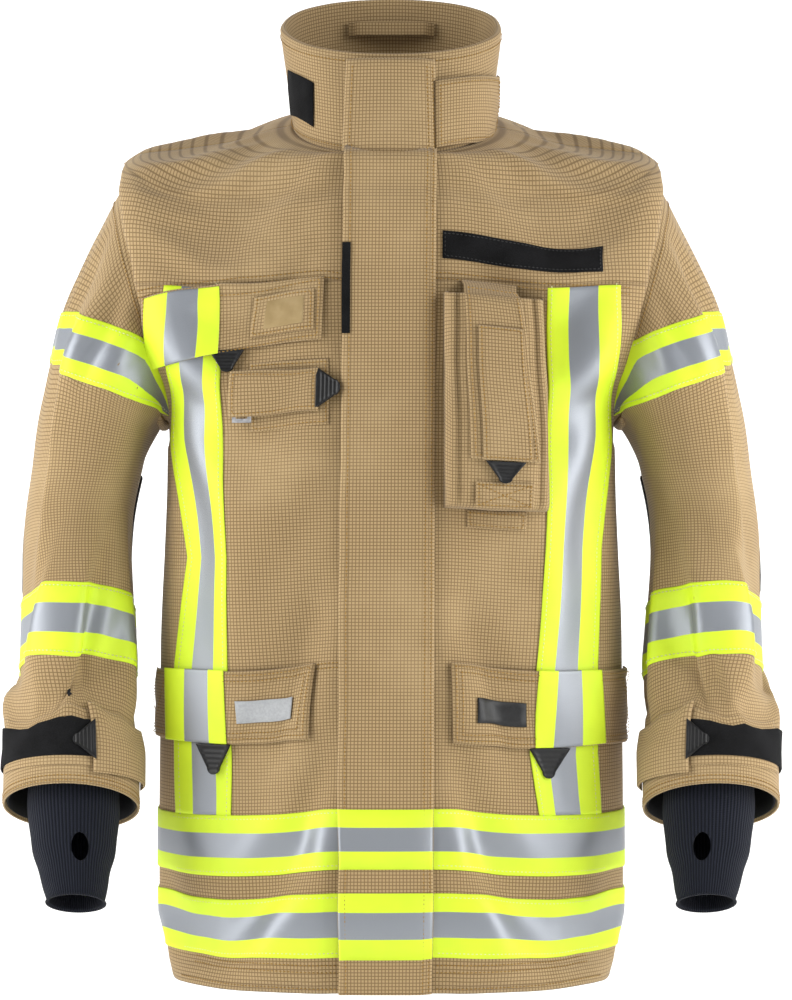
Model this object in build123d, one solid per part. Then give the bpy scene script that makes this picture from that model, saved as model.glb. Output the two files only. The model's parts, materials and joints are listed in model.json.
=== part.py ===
"""Turnout coat: shell panels, barrier, liner, closures, pockets, tape, sleeves and wristlets.

Everything is first drawn in a garment frame: x to the wearer's left, y to the back, z up, with
z = 0 at the lower edge of the storm flap. At the end each piece is moved so that the origin is
the middle of the hanger loop inside the back of the collar.
"""
import os
from math import cos, sin, pi, radians, hypot
from build123d import *

# The body of the coat
HEM_Z = 5.0
YOKE_Z = 717.0
FRONT_LEAN = 0.047          # how far the front leans back for each mm of height
FRONT_AT_FLOOR = -165.0     # y of the front's centre line at z = 0
SHELL = 2.0                 # outer shell cloth
ZIP_GAP = 12.0              # half the gap between the two front panels
SIDE_SEAM_Y = 8.0
ARM_CENTRE = Vector(254, 6, 714)
ARM_AXIS = Vector(0.982, 0, -0.190)
ARM_RADIUS = 126.0
ARM_CLEARANCE = 1.2
ARM_ROOT = 56.0             # how far the sleeve head reaches into the body

# Each row of the body: half width, front y and z, back y and z, squareness, lift per mm of offset
BODY_ROWS = [
    (231, -164.8, HEM_Z, 150, HEM_Z, 2.5, 0.0),
    (228, -150.9, 300, 152, 300, 2.5, 0.0),
    (228, -137.3, 590, 156, 590, 2.9, 0.0),
    (246, -131.3, YOKE_Z, 158, YOKE_Z, 4.2, 0.0),
    (265, -128.4, 778, 140, 838, 4.0, 0.3),
    (270, -126.4, 822, 104, 888, 3.0, 0.8),
    (103, -125.0, 851, 75, 935, 2.1, 1.0),
]
COLLAR_ROWS = [
    (103, -125.0, 851, 75, 935, 2.1, 0.0),
    (110, -122.0, 905, 66, 990, 2.1, 0.0),
    (116, -120.4, 950, 60, 1042, 2.1, 0.0),
]
SECTION_POINTS = 24

# Right sleeve, from the head down: centre, direction, half width across, half depth
SLEEVE_ROWS = [
    ((295, 4, 650), (0.72, 0, -0.69), 88, 113),
    ((313, 2, 588), (0.32, 0, -0.95), 75, 95),
    ((325, 0, 530), (0.12, -0.04, -0.99), 72, 84),
    ((333, -6, 468), (0.02, -0.20, -0.98), 71, 77),
    ((331, -35, 372), (0, -0.36, -0.93), 70, 72),
    ((330, -70, 284), (0, -0.38, -0.92), 70, 68),
    ((327, -107, 187), (0, -0.46, -0.89), 69, 65),
]
FOREARM = Vector(0, -0.38, -0.925)
WRISTLET_ROWS = [
    ((326, -96, 214), (0, -0.46, -0.89), 47, 44),
    ((322, -126, 155), (0, -0.46, -0.89), 44, 40),
    ((317, -152, 100), (0, -0.46, -0.89), 30, 28),
]

# Tape and closures
TAPE = 1.2                  # tape thickness
TAPE_GAP = 0.2
HEM_BANDS = [(36, 95), (119, 179)]
FLAP_HALF = 46.0            # storm flap, half its width
FLAP_HINGE_X = 43.0
FLAP_OFF = 2.2              # clear of the tape on the front panels
FLAP_THICK = 3.0
FLAP_TOP = 948.0
TEETH_DEPTH = 7.0           # how far behind the front face the teeth lie
HANGER_LOOP = Vector(0, 40, 1011)

BIG = 2000.0


def power(value, squareness):
    """A sine or cosine raised so that the ellipse becomes squarer."""
    size = abs(value) ** (2.0 / squareness)
    return size if value >= 0 else -size


def body_ring(row, offset):
    """One closed outline round the body, moved outwards by offset."""
    half, front_y, front_z, back_y, back_z, square, lift = row
    middle_y = (front_y + back_y) / 2
    middle_z = (front_z + back_z) / 2
    depth = hypot(back_y - front_y, back_z - front_z) / 2
    grow = (depth + offset) / depth
    points = []
    for i in range(SECTION_POINTS):
        angle = 2 * pi * (i + 0.5) / SECTION_POINTS
        across = power(cos(angle), square)
        along = power(sin(angle), square) * grow
        y = middle_y + along * (back_y - front_y) / 2
        z = middle_z + along * (back_z - front_z) / 2 + lift * offset
        points.append(Vector((half + offset) * across, y, z))
    return Wire.make_polygon(points, close=True)


def stretched(rows, below, above):
    """The same rows with a longer first and last span, to cut right through."""
    first = list(rows[0])
    first[2] -= below
    first[4] -= below
    last = list(rows[-1])
    last[2] += above
    last[4] += above
    return [tuple(first)] + list(rows) + [tuple(last)]


def body_form(offset):
    return Solid.make_loft([body_ring(row, offset) for row in BODY_ROWS], ruled=True)


def body_core(offset):
    rows = stretched(BODY_ROWS, 20, 30)
    return Solid.make_loft([body_ring(row, offset) for row in rows], ruled=True)


def body_layer(outer, inner):
    """A layer of cloth round the whole body between two offsets."""
    return body_form(outer) - body_core(inner)


def box(x0, x1, y0, y1, z0, z1):
    centre = Vector((x0 + x1) / 2, (y0 + y1) / 2, (z0 + z1) / 2)
    return Pos(*centre) * Box(x1 - x0, y1 - y0, z1 - z0)


def front_y(z):
    return FRONT_AT_FLOOR + FRONT_LEAN * z


def blended_row(z):
    """Half width, front, back and squareness of the body at a level below the yoke seam."""
    for low, high in zip(BODY_ROWS, BODY_ROWS[1:]):
        if z <= high[2]:
            break
    part = (z - low[2]) / (high[2] - low[2])
    return [a + (b - a) * part for a, b in zip(low, high)]


def surface_point(x, z, offset):
    """Where the front of the body is at x and z, and the way it faces there."""
    half, front, _, back, _, square, _ = blended_row(z)
    half += offset
    depth = (back - front) / 2 + offset
    across = abs(x) / half
    inward = depth * (1 - across ** square) ** (1 / square)
    y = (front + back) / 2 - inward
    slope_x = across ** (square - 1) / half
    slope_y = (inward / depth) ** (square - 1) / depth
    facing = Vector(slope_x if x > 0 else -slope_x, -slope_y, 0).normalized()
    return Vector(x, y, z), facing


def arm_cylinder(side, radius, start, end):
    """A cylinder about the swing axis of a sleeve."""
    axis = Vector(side * ARM_AXIS.X, 0, ARM_AXIS.Z)
    centre = Vector(side * ARM_CENTRE.X, ARM_CENTRE.Y, ARM_CENTRE.Z)
    plane = Plane(origin=centre + axis * start, z_dir=axis)
    return plane * Cylinder(radius, end - start, align=(Align.CENTER, Align.CENTER, Align.MIN))


def without_armholes(shape):
    for side in (-1, 1):
        shape = shape - arm_cylinder(side, ARM_RADIUS + ARM_CLEARANCE, -ARM_ROOT - 1, 200)
    return shape


def tube_ring(row, side, offset):
    """One closed outline round a sleeve or wristlet."""
    centre, direction, across, deep = row
    way = Vector(side * direction[0], direction[1], direction[2]).normalized()
    outward = (Vector(0, 1, 0).cross(way) * side).normalized()
    back = way.cross(outward).normalized()
    middle = Vector(side * centre[0], centre[1], centre[2])
    points = []
    for i in range(SECTION_POINTS):
        angle = 2 * pi * (i + 0.5) / SECTION_POINTS
        step = outward * (across + offset) * cos(angle) + back * side * (deep + offset) * sin(angle)
        points.append(middle + step)
    return Wire.make_polygon(points, close=True)


def sleeve_rows():
    """The head of the sleeve is round about the swing axis, then come the arm's rows."""
    rows = []
    for reach in (-ARM_ROOT, 0):
        centre = ARM_CENTRE + ARM_AXIS * reach
        rows.append(((centre.X, centre.Y, centre.Z), (0.982, 0, -0.190), ARM_RADIUS - 1, ARM_RADIUS - 1))
    return rows + SLEEVE_ROWS


def sleeve_form(side, offset, longer=0.0):
    rows = sleeve_rows()
    if longer:
        first = rows[0]
        start = Vector(*first[0]) - ARM_AXIS * longer
        last = rows[-1]
        way = Vector(*last[1]).normalized()
        end = Vector(*last[0]) + way * longer
        rows = [((start.X, start.Y, start.Z),) + first[1:]] + rows
        rows = rows + [((end.X, end.Y, end.Z),) + last[1:]]
    head_rows = 4 if longer else 3
    head = [tube_ring(row, side, offset) for row in rows[:head_rows]]
    arm = [tube_ring(row, side, offset) for row in rows[head_rows - 1:]]
    return Solid.make_loft(head, ruled=True) + Solid.make_loft(arm, ruled=True)


def sleeve_layer(side, outer, inner):
    return sleeve_form(side, outer) - sleeve_form(side, inner, 20)


def slab(centre, way, width, size=400.0):
    """A flat slab across a sleeve: everything within half a width of a cross section."""
    plane = Plane(origin=centre, z_dir=way)
    return plane * Box(size, size, width)


# ---- the body of the coat ----

def shell_panels():
    """Six panels of outer shell, meeting at the side seams and the yoke seam."""
    shell = without_armholes(body_layer(0, -SHELL))
    right_front = box(-BIG, -ZIP_GAP, -BIG, SIDE_SEAM_Y, -BIG, YOKE_Z)
    left_front = box(ZIP_GAP, BIG, -BIG, SIDE_SEAM_Y, -BIG, YOKE_Z)
    back = box(-BIG, BIG, SIDE_SEAM_Y, BIG, -BIG, YOKE_Z)
    right_top = box(-BIG, -ZIP_GAP, -BIG, SIDE_SEAM_Y, YOKE_Z, BIG)
    left_top = box(ZIP_GAP, BIG, -BIG, SIDE_SEAM_Y, YOKE_Z, BIG)
    back_top = box(-BIG, BIG, SIDE_SEAM_Y, BIG, YOKE_Z, BIG)
    return {
        "right_front_panel": shell & right_front,
        "left_front_panel": shell & left_front,
        "back_panel": shell & back,
        "right_yoke": shell & right_top,
        "left_yoke": shell & left_top,
        "back_yoke": shell & back_top,
    }


def lining(outer, inner):
    """A lining layer: the body without its armholes, open down the front."""
    layer = without_armholes(body_layer(outer, inner))
    return layer - box(-30, 30, -BIG, 0, -BIG, BIG)


def collar_piece(outer, inner):
    wide = Solid.make_loft([body_ring(row, outer) for row in COLLAR_ROWS], ruled=True)
    rows = stretched(COLLAR_ROWS, 20, 20)
    return wide - Solid.make_loft([body_ring(row, inner) for row in rows], ruled=True)


def collar():
    ring = collar_piece(0, -6)
    return ring - box(-1.5, 1.5, -BIG, 0, -BIG, BIG)


def leaning_bar(x0, x1, depth0, depth1, z0, z1):
    """A flat bar that follows the lean of the coat's front; depths are behind its front face."""
    profile = [
        (front_y(z0) + depth0, z0),
        (front_y(z1) + depth0, z1),
        (front_y(z1) + depth1, z1),
        (front_y(z0) + depth1, z0),
    ]
    outline = Plane.YZ * Polyline(*profile, close=True)
    bar = extrude(make_face(outline), amount=x1 - x0, dir=(1, 0, 0))
    return Pos(x0, 0, 0) * bar


def zip_pieces():
    """A coarse slide fastener behind the storm flap, its slider at the top."""
    low, high = 96, 838
    tapes = [leaning_bar(s * 3.2 if s > 0 else -34, 34 if s > 0 else -3.2, TEETH_DEPTH + 0.8,
                         TEETH_DEPTH + 1.6, low - 30, high + 8) for s in (-1, 1)]
    rails = [leaning_bar(0.2 if s > 0 else -3.0, 3.0 if s > 0 else -0.2, TEETH_DEPTH - 1.2,
                         TEETH_DEPTH + 2.6, low, high) for s in (-1, 1)]
    plate = leaning_bar(-5.2, 5.2, TEETH_DEPTH - 3.6, TEETH_DEPTH - 1.6, high - 15, high - 1)
    lips = [leaning_bar(-5.2 if s < 0 else 3.5, -3.5 if s < 0 else 5.2, TEETH_DEPTH - 1.6,
                        TEETH_DEPTH + 0.4, high - 15, high - 1) for s in (-1, 1)]
    slider = plate + lips[0] + lips[1]
    pull = leaning_bar(-3.5, 3.5, 1.4, 3.2, high - 48, high - 4)
    pull = pull - leaning_bar(-1.8, 1.8, 0, 5, high - 44, high - 34)
    return {
        "zip_tapes": Compound(children=tapes),
        "zip_teeth": Compound(children=rails),
        "zip_slider": Compound(children=[slider, pull]),
    }


def front_facings():
    """Strips of shell cloth that carry the zip tapes between the panels and the barrier."""
    strips = [leaning_bar(20 if s > 0 else -56, 56 if s > 0 else -20, TEETH_DEPTH + 1.8,
                          TEETH_DEPTH + 3.4, 20, 846) for s in (-1, 1)]
    return Compound(children=strips)


def storm_flap():
    low, high = 0, FLAP_TOP
    return leaning_bar(-FLAP_HALF, FLAP_HINGE_X - 0.3, -FLAP_OFF - FLAP_THICK, -FLAP_OFF, low, high)


def storm_flap_trim():
    """Tape across the flap, hook tape behind its free edge, and the grip on that edge."""
    face = -FLAP_OFF - FLAP_THICK
    bands = []
    for z0, z1 in HEM_BANDS:
        low, high = z0 - 5, z1 - 5
        bands.append(leaning_bar(-FLAP_HALF, FLAP_HINGE_X - 4, face - TAPE, face, low, high))
    hook = leaning_bar(-FLAP_HALF + 4, -FLAP_HALF + 29, -FLAP_OFF, -FLAP_OFF + 0.7, 60, 830)
    grip = leaning_bar(-FLAP_HALF, -FLAP_HALF + 9, face - 1.0, face, 662, 752)
    return {
        "storm_flap_bands": Compound(children=bands),
        "storm_flap_hook_strip": hook,
        "storm_flap_edge_grip": grip,
    }


def loop_strip():
    """Loop tape on the right front panel, under the storm flap's hook tape."""
    return leaning_bar(-FLAP_HALF + 6, -FLAP_HALF + 27, -1.0, -0.1, 184, 712)


def hanger_loop():
    """A strap sewn at both ends to the inside of the collar's back, with a gap behind it."""
    strap = box(-46, 46, -1, 1, -8, 8)
    left_end = box(37, 46, 1, 7, -8, 8)
    right_end = box(-46, -37, 1, 7, -8, 8)
    return Pos(*HANGER_LOOP) * (strap + left_end + right_end)


# ---- trim on the body ----

def body_patch(x0, x1, z0, z1, outer, inner):
    """A patch of cloth that follows the front of the body."""
    return body_layer(outer, inner) & box(x0, x1, -BIG, 0, z0, z1)


def reflective_bands():
    """Two bands round the hem and a stripe down each side of the chest, as one layer of tape."""
    layer = body_layer(TAPE_GAP + TAPE, TAPE_GAP)
    top = HEM_BANDS[1][1]
    pieces = []
    for z0, z1 in HEM_BANDS:
        ring = layer & box(-BIG, BIG, -BIG, BIG, z0, z1)
        pieces.append(ring - box(-ZIP_GAP, ZIP_GAP, -BIG, 0, z0 - 1, z1 + 1))
    for x0, x1 in ((-216, -166), (153, 210)):
        stripe = without_armholes(layer & box(x0, x1, -BIG, 0, top, YOKE_Z - 2))
        pieces.append(stripe)
    return Compound(children=[solid for piece in pieces for solid in piece.solids()])


def shoulder_loops():
    """A short strap across the front of each shoulder, held at its two ends."""
    straps = []
    for side in (-1, 1):
        strap = Box(66, 12, 2) + Pos(-30, 0, -3.5) * Box(6, 12, 5) + Pos(30, 0, -3.5) * Box(6, 12, 5)
        placed = Pos(side * 236, -62, 875) * Rot(52, 0, 0) * Rot(0, side * 14, 0) * strap
        straps.append(placed)
    return Compound(children=straps)


def pocket_bags():
    """Three flat, empty pocket bags between the shell and the moisture barrier."""
    places = ((-210, -84, 130, 310), (76, 210, 130, 310), (-176, -78, 594, 700))
    bags = [body_patch(x0, x1, z0, z1, -3, -5) for x0, x1, z0, z1 in places[:2]]
    x0, x1, z0, z1 = places[2]
    bags.append(body_patch(x0, x1, z0, z1, -5.5, -7.5))
    return Compound(children=[solid for bag in bags for solid in bag.solids()])


# ---- pockets and flaps ----

RADIO_X = (58.0, 152.0)
RADIO_Z = (488.0, 700.0)
RADIO_DEPTH = 26.0


def radio_pocket():
    """A patch pocket that stands off the chest, open at the top."""
    x0, x1 = RADIO_X
    z0, z1 = RADIO_Z
    wall = 2.0
    outer = body_patch(x0, x1, z0, z1, RADIO_DEPTH, 2.0)
    hollow = body_patch(x0 + wall, x1 - wall, z0 + wall, z1 + 5, RADIO_DEPTH - wall, 2.0 + wall)
    return outer - hollow


def pull_tab(centre_x, top_z, offset, width=36.0, drop=24.0, thick=3.0):
    """A tapered rubber pull tab that hangs below a flap, turned to face the way the coat does."""
    point, facing = surface_point(centre_x, top_z, offset)
    sideways = facing.cross(Vector(0, 0, 1)).normalized()
    plane = Plane(origin=point, x_dir=sideways, z_dir=facing)
    half = width / 2
    shape = Polyline((-half, 0), (half, 0), (6, drop), (-6, drop), close=True)
    tab = extrude(plane * make_face(shape), amount=thick)
    return tab


def flap_piece(x0, x1, z0, z1, offset, thick=3.0):
    """A pocket flap that follows the body."""
    return body_patch(x0, x1, z0, z1, offset + thick, offset)


# x and z of each flap, how far off the body it lies, and the x where its hinge line touches
FLAPS = {
    "right_chest_flap": (-190, -66, 652, 715, 2.6, -130),
    "right_hip_flap": (-222, -80, 252, 327, 2.6, -160),
    "left_hip_flap": (60, 222, 252, 327, 2.6, 160),
    "radio_flap": (70, 132, 542, 714, RADIO_DEPTH + 1.0, 101),
}


def flaps():
    pieces = {name: flap_piece(*row[:5]) for name, row in FLAPS.items()}
    skin = 2.6 + 3.0
    for name, x0, x1 in (("right_chest", -190, -168), ("right_hip", -214, -168), ("left_hip", 151, 206)):
        low, high = (655, 712) if name == "right_chest" else (256, 323)
        pieces[name + "_flap_band"] = body_patch(x0, x1, low, high, skin + TAPE, skin)
    pieces["chest_window_patch"] = body_patch(-139, -78, 663, 702, skin + 1.0, skin)
    pieces["right_hip_badge"] = body_patch(-160, -102, 273, 296, skin + 1.0, skin)
    pieces["left_hip_badge"] = body_patch(85, 142, 269, 293, skin + 1.0, skin)
    pieces["right_chest_pull_tab"] = pull_tab(-166, 651.7, 1.4, drop=19.5)
    pieces["right_hip_pull_tab"] = pull_tab(-182, 251.7, 1.7)
    pieces["left_hip_pull_tab"] = pull_tab(167, 251.7, 1.7)
    pieces["radio_pull_tab"] = pull_tab(107, 541.7, RADIO_DEPTH + 1.2)
    return pieces


def lamp_strap_pieces():
    """A strap that closes over the shaft of a hand lamp, on a base patch, with a steel ring."""
    base = body_patch(-145, -62, 572, 638, 2.0, TAPE_GAP)
    strap = body_patch(-158, -74, 586, 630, 8.0, 5.6)
    point, facing = surface_point(-62, 611, 5.6)
    sideways = facing.cross(Vector(0, 0, 1)).normalized()
    plane = Plane(origin=point, x_dir=sideways, z_dir=facing)
    towards = 1 if sideways.X > 0 else -1
    shape = Polyline((towards * -11, 22), (towards * 10, 8), (towards * 12, 0), (towards * 10, -8),
                     (towards * -11, -22), close=True)
    tab = extrude(plane * make_face(shape), amount=2.6)
    ring = body_patch(-162, -142, 579, 631, 4.6, 2.8) - box(-158, -146, -BIG, 0, 583, 627)
    return {"lamp_base_patch": base, "lamp_strap": strap, "lamp_pull_tab": tab, "lamp_ring": ring}


def collar_trim():
    """The loop patch on the right of the collar and the tab stowed on its left."""
    patch = collar_piece(1.4, 0.2) & box(-BIG, -79, -104, -28, 878, 934)
    tab = collar_piece(6.0, 3.4) & box(45, BIG, -BIG, -34, 872, 934)
    return {"collar_loop_patch": patch, "throat_tab": tab}


# ---- sleeves ----

def cuff_place(side):
    return Vector(side * 328.5, -89, 236)


def forearm_way(side):
    return Vector(FOREARM.X, FOREARM.Y, FOREARM.Z).normalized()


def sleeve_pieces(side, name):
    way = forearm_way(side)
    pieces = {}
    pieces[name + "_sleeve"] = sleeve_layer(side, 0, -SHELL)
    pieces[name + "_sleeve_liner"] = sleeve_layer(side, -SHELL - 1, -SHELL - 3) & slab(
        Vector(side * 328, -60, 330), way, 270)
    tape = sleeve_layer(side, TAPE_GAP + TAPE, TAPE_GAP)
    upper = slab(Vector(side * 303, 0, 648), Vector(side * 0.37, 0, -0.93), 49)
    lower = slab(Vector(side * 331, -42, 352), way, 70)
    bands = [solid for cut in (tape & upper, tape & lower) for solid in cut.solids()]
    pieces[name + "_sleeve_bands"] = Compound(children=bands)
    pad = sleeve_layer(side, 3.2, 0.4) & box(-BIG, BIG, 10, BIG, 405, 545)
    pieces[name + "_elbow_pad"] = pad
    strip = sleeve_layer(side, 1.4, TAPE_GAP) & slab(cuff_place(side), way, 28)
    inner_x = side * 290
    keep = box(min(inner_x, side * 420), max(inner_x, side * 420), -BIG, -70, 0, 500)
    pieces[name + "_cuff_loop_strip"] = strip & keep
    pieces[name + "_wristlet"] = wristlet(side)
    return pieces


def wristlet(side):
    """A knitted tube inside the cuff, with a thumb hole in its front."""
    outer = Solid.make_loft([tube_ring(row, side, 0) for row in WRISTLET_ROWS], ruled=True)
    rows = list(WRISTLET_ROWS)
    way = Vector(*rows[0][1]).normalized()
    first = Vector(*rows[0][0]) - way * 10
    last = Vector(*rows[-1][0]) + way * 10
    rows = [((first.X, first.Y, first.Z),) + rows[0][1:]] + rows + [((last.X, last.Y, last.Z),) + rows[-1][1:]]
    inner = Solid.make_loft([tube_ring(row, side, -3) for row in rows], ruled=True)
    hole_at = Vector(side * 322, -128, 152)
    hole_way = Vector(-side * 0.62, -0.78, 0.10)
    hole = Plane(origin=hole_at, z_dir=hole_way) * Cylinder(11, 90, align=(Align.CENTER, Align.CENTER, Align.MIN))
    return outer - inner - hole


def cuff_point(side, angle, offset):
    """A point round the cuff from its inner side to its front, and the way it faces there."""
    way = forearm_way(side)
    inward = Vector(-side, 0, 0)
    forward = Vector(0, way.Z, -way.Y)
    across = 69.8 + offset
    deep = 66.8 + offset
    point = cuff_place(side) + inward * across * cos(angle) + forward * deep * sin(angle)
    facing = (inward * (cos(angle) / across) + forward * (sin(angle) / deep)).normalized()
    onward = (forward * deep * cos(angle) - inward * across * sin(angle)).normalized()
    return point, facing, onward


def cuff_strap_pieces(side, name):
    """The strap that tightens the cuff, hinged at the inner side of the wrist, and its pull tab."""
    way = forearm_way(side)
    layer = sleeve_layer(side, 5.4, 3.0) & slab(cuff_place(side), way, 44)
    low, high = sorted((side * 240, side * 296))
    strap = layer & box(low, high, -BIG, cuff_place(side).Y, 0, 500)
    point, facing, onward = cuff_point(side, radians(61), 5.6)
    plane = Plane(origin=point, x_dir=onward, z_dir=facing)
    shape = Polyline((-10, 21), (1, 21), (19, 6), (19, -6), (1, -21), (-10, -21), close=True)
    tab = extrude(plane * make_face(shape), amount=2.4)
    return {name + "_cuff_strap": strap, name + "_cuff_pull_tab": tab}


# ---- write the pieces ----

def all_pieces():
    pieces = shell_panels()
    pieces["moisture_barrier"] = lining(-12, -13)
    pieces["thermal_liner"] = lining(-14.5, -17)
    pieces["collar"] = collar()
    pieces["front_facings"] = front_facings()
    pieces.update(zip_pieces())
    pieces["storm_flap"] = storm_flap()
    pieces.update(storm_flap_trim())
    pieces["front_loop_strip"] = loop_strip()
    pieces["hanger_loop"] = hanger_loop()
    pieces["reflective_bands"] = reflective_bands()
    pieces["name_loop_panel"] = body_patch(52, 188, 736, 762, 2.2, TAPE_GAP)
    pieces["shoulder_loops"] = shoulder_loops()
    pieces["pocket_bags"] = pocket_bags()
    pieces["radio_pocket"] = radio_pocket()
    pieces.update(flaps())
    pieces.update(lamp_strap_pieces())
    pieces.update(collar_trim())
    for side, name in ((-1, "right"), (1, "left")):
        pieces.update(sleeve_pieces(side, name))
        pieces.update(cuff_strap_pieces(side, name))
    return pieces


def write_pieces():
    os.makedirs("parts", exist_ok=True)
    shift = Pos(-HANGER_LOOP.X, -HANGER_LOOP.Y, -HANGER_LOOP.Z)
    for name, shape in all_pieces().items():
        solids = shape.solids()
        moved = [shift * solid for solid in solids]
        export_step(moved[0] if len(moved) == 1 else Compound(children=moved), "parts/" + name + ".step")


write_pieces()
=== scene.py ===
# %% [markdown]
# # A firefighter's turnout coat
# The coat is a stiff, three-layer garment. Its outer shell is a ripstop weave, and everything else
# is sewn onto that shell: fluorescent and silver tape, pocket flaps, a storm flap over the zip,
# tabs of moulded rubber and knitted wristlets. The CAD frame gives the places and the bodies that
# move. This script makes the cloth that is seen.

# %% Load the frame
import json
import math
import bpy
import numpy as np
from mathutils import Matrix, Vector


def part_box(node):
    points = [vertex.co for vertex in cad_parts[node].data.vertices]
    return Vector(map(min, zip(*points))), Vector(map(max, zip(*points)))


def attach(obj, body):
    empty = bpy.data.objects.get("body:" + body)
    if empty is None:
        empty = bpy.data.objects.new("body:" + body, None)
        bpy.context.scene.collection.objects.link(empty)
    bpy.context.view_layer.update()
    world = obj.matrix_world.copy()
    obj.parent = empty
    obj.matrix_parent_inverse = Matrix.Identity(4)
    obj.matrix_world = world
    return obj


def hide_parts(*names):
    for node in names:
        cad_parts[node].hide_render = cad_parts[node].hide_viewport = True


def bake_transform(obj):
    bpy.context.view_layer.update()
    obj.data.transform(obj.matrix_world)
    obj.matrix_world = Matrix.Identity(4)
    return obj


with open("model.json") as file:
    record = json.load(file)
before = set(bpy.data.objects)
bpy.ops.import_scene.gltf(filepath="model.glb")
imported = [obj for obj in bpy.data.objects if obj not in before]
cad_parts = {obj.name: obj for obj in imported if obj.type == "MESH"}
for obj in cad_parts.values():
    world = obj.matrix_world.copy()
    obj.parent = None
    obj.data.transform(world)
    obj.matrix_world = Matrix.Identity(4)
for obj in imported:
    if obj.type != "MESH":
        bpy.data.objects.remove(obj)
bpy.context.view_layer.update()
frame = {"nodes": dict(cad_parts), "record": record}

# %% [markdown]
# ## One set of garment coordinates
# A tailor measures up from the hem and out from the middle of the front, so the shapes below are
# written in millimetres in that way: x to the wearer's left, y to the back, z up from the lower edge
# of the storm flap. The frame's origin is the hanger loop, so one small function moves points there.

# %% Garment millimetres to frame metres
STORM_FLAP_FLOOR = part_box("storm_flap")[0].z
LOOP = np.array([0.0, 40.0, -STORM_FLAP_FLOOR * 1000.0])


def to_frame(points):
    """Garment millimetres to metres in the frame."""
    return (np.asarray(points, float) - LOOP) / 1000.0


def smooth(t):
    t = np.clip(t, 0.0, 1.0)
    return t * t * (3 - 2 * t)


# %% [markdown]
# ## The camera comes first
# The coat is seen straight from the front, from the height of its waist, at a distance that keeps
# the sleeves nearly upright. A long lens and a small shift frame the whole coat.

# %% Camera
VIEW_DISTANCE = 2.6
FRONT_PLANE_Y = -165.0
lens_data = bpy.data.cameras.new("front_camera")
lens_data.sensor_fit = "VERTICAL"
lens_data.sensor_height = 36.0
lens_data.lens = 36.0 * VIEW_DISTANCE / 1.0
lens_data.shift_y = 0.03
lens_data.clip_end = 50
camera = bpy.data.objects.new("front_camera", lens_data)
bpy.context.scene.collection.objects.link(camera)
camera.location = to_frame([5.0, FRONT_PLANE_Y - VIEW_DISTANCE * 1000, 470.0])
camera.rotation_euler = (math.radians(90), 0, 0)
bpy.context.scene.camera = camera

# %% [markdown]
# ## Shader helpers
# Materials are easier to read as sums than as a tangle of nodes. `Reading` wraps one socket and lets
# it be added and multiplied; `Finish` starts a material and makes any other node with one method.

# %% A socket that can be used in sums


class Reading:
    """One socket of a node tree, usable in expressions."""

    def __init__(self, finish, socket):
        self.finish = finish
        self.socket = socket

    def maths(self, operation, first, second):
        return self.finish.node("ShaderNodeMath", {"operation": operation}, {0: first, 1: second})

    def __add__(self, other):
        return self.maths("ADD", self, other)

    def __radd__(self, other):
        return self.maths("ADD", other, self)

    def __sub__(self, other):
        return self.maths("SUBTRACT", self, other)

    def __rsub__(self, other):
        return self.maths("SUBTRACT", other, self)

    def __mul__(self, other):
        return self.maths("MULTIPLY", self, other)

    def __rmul__(self, other):
        return self.maths("MULTIPLY", other, self)


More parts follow.
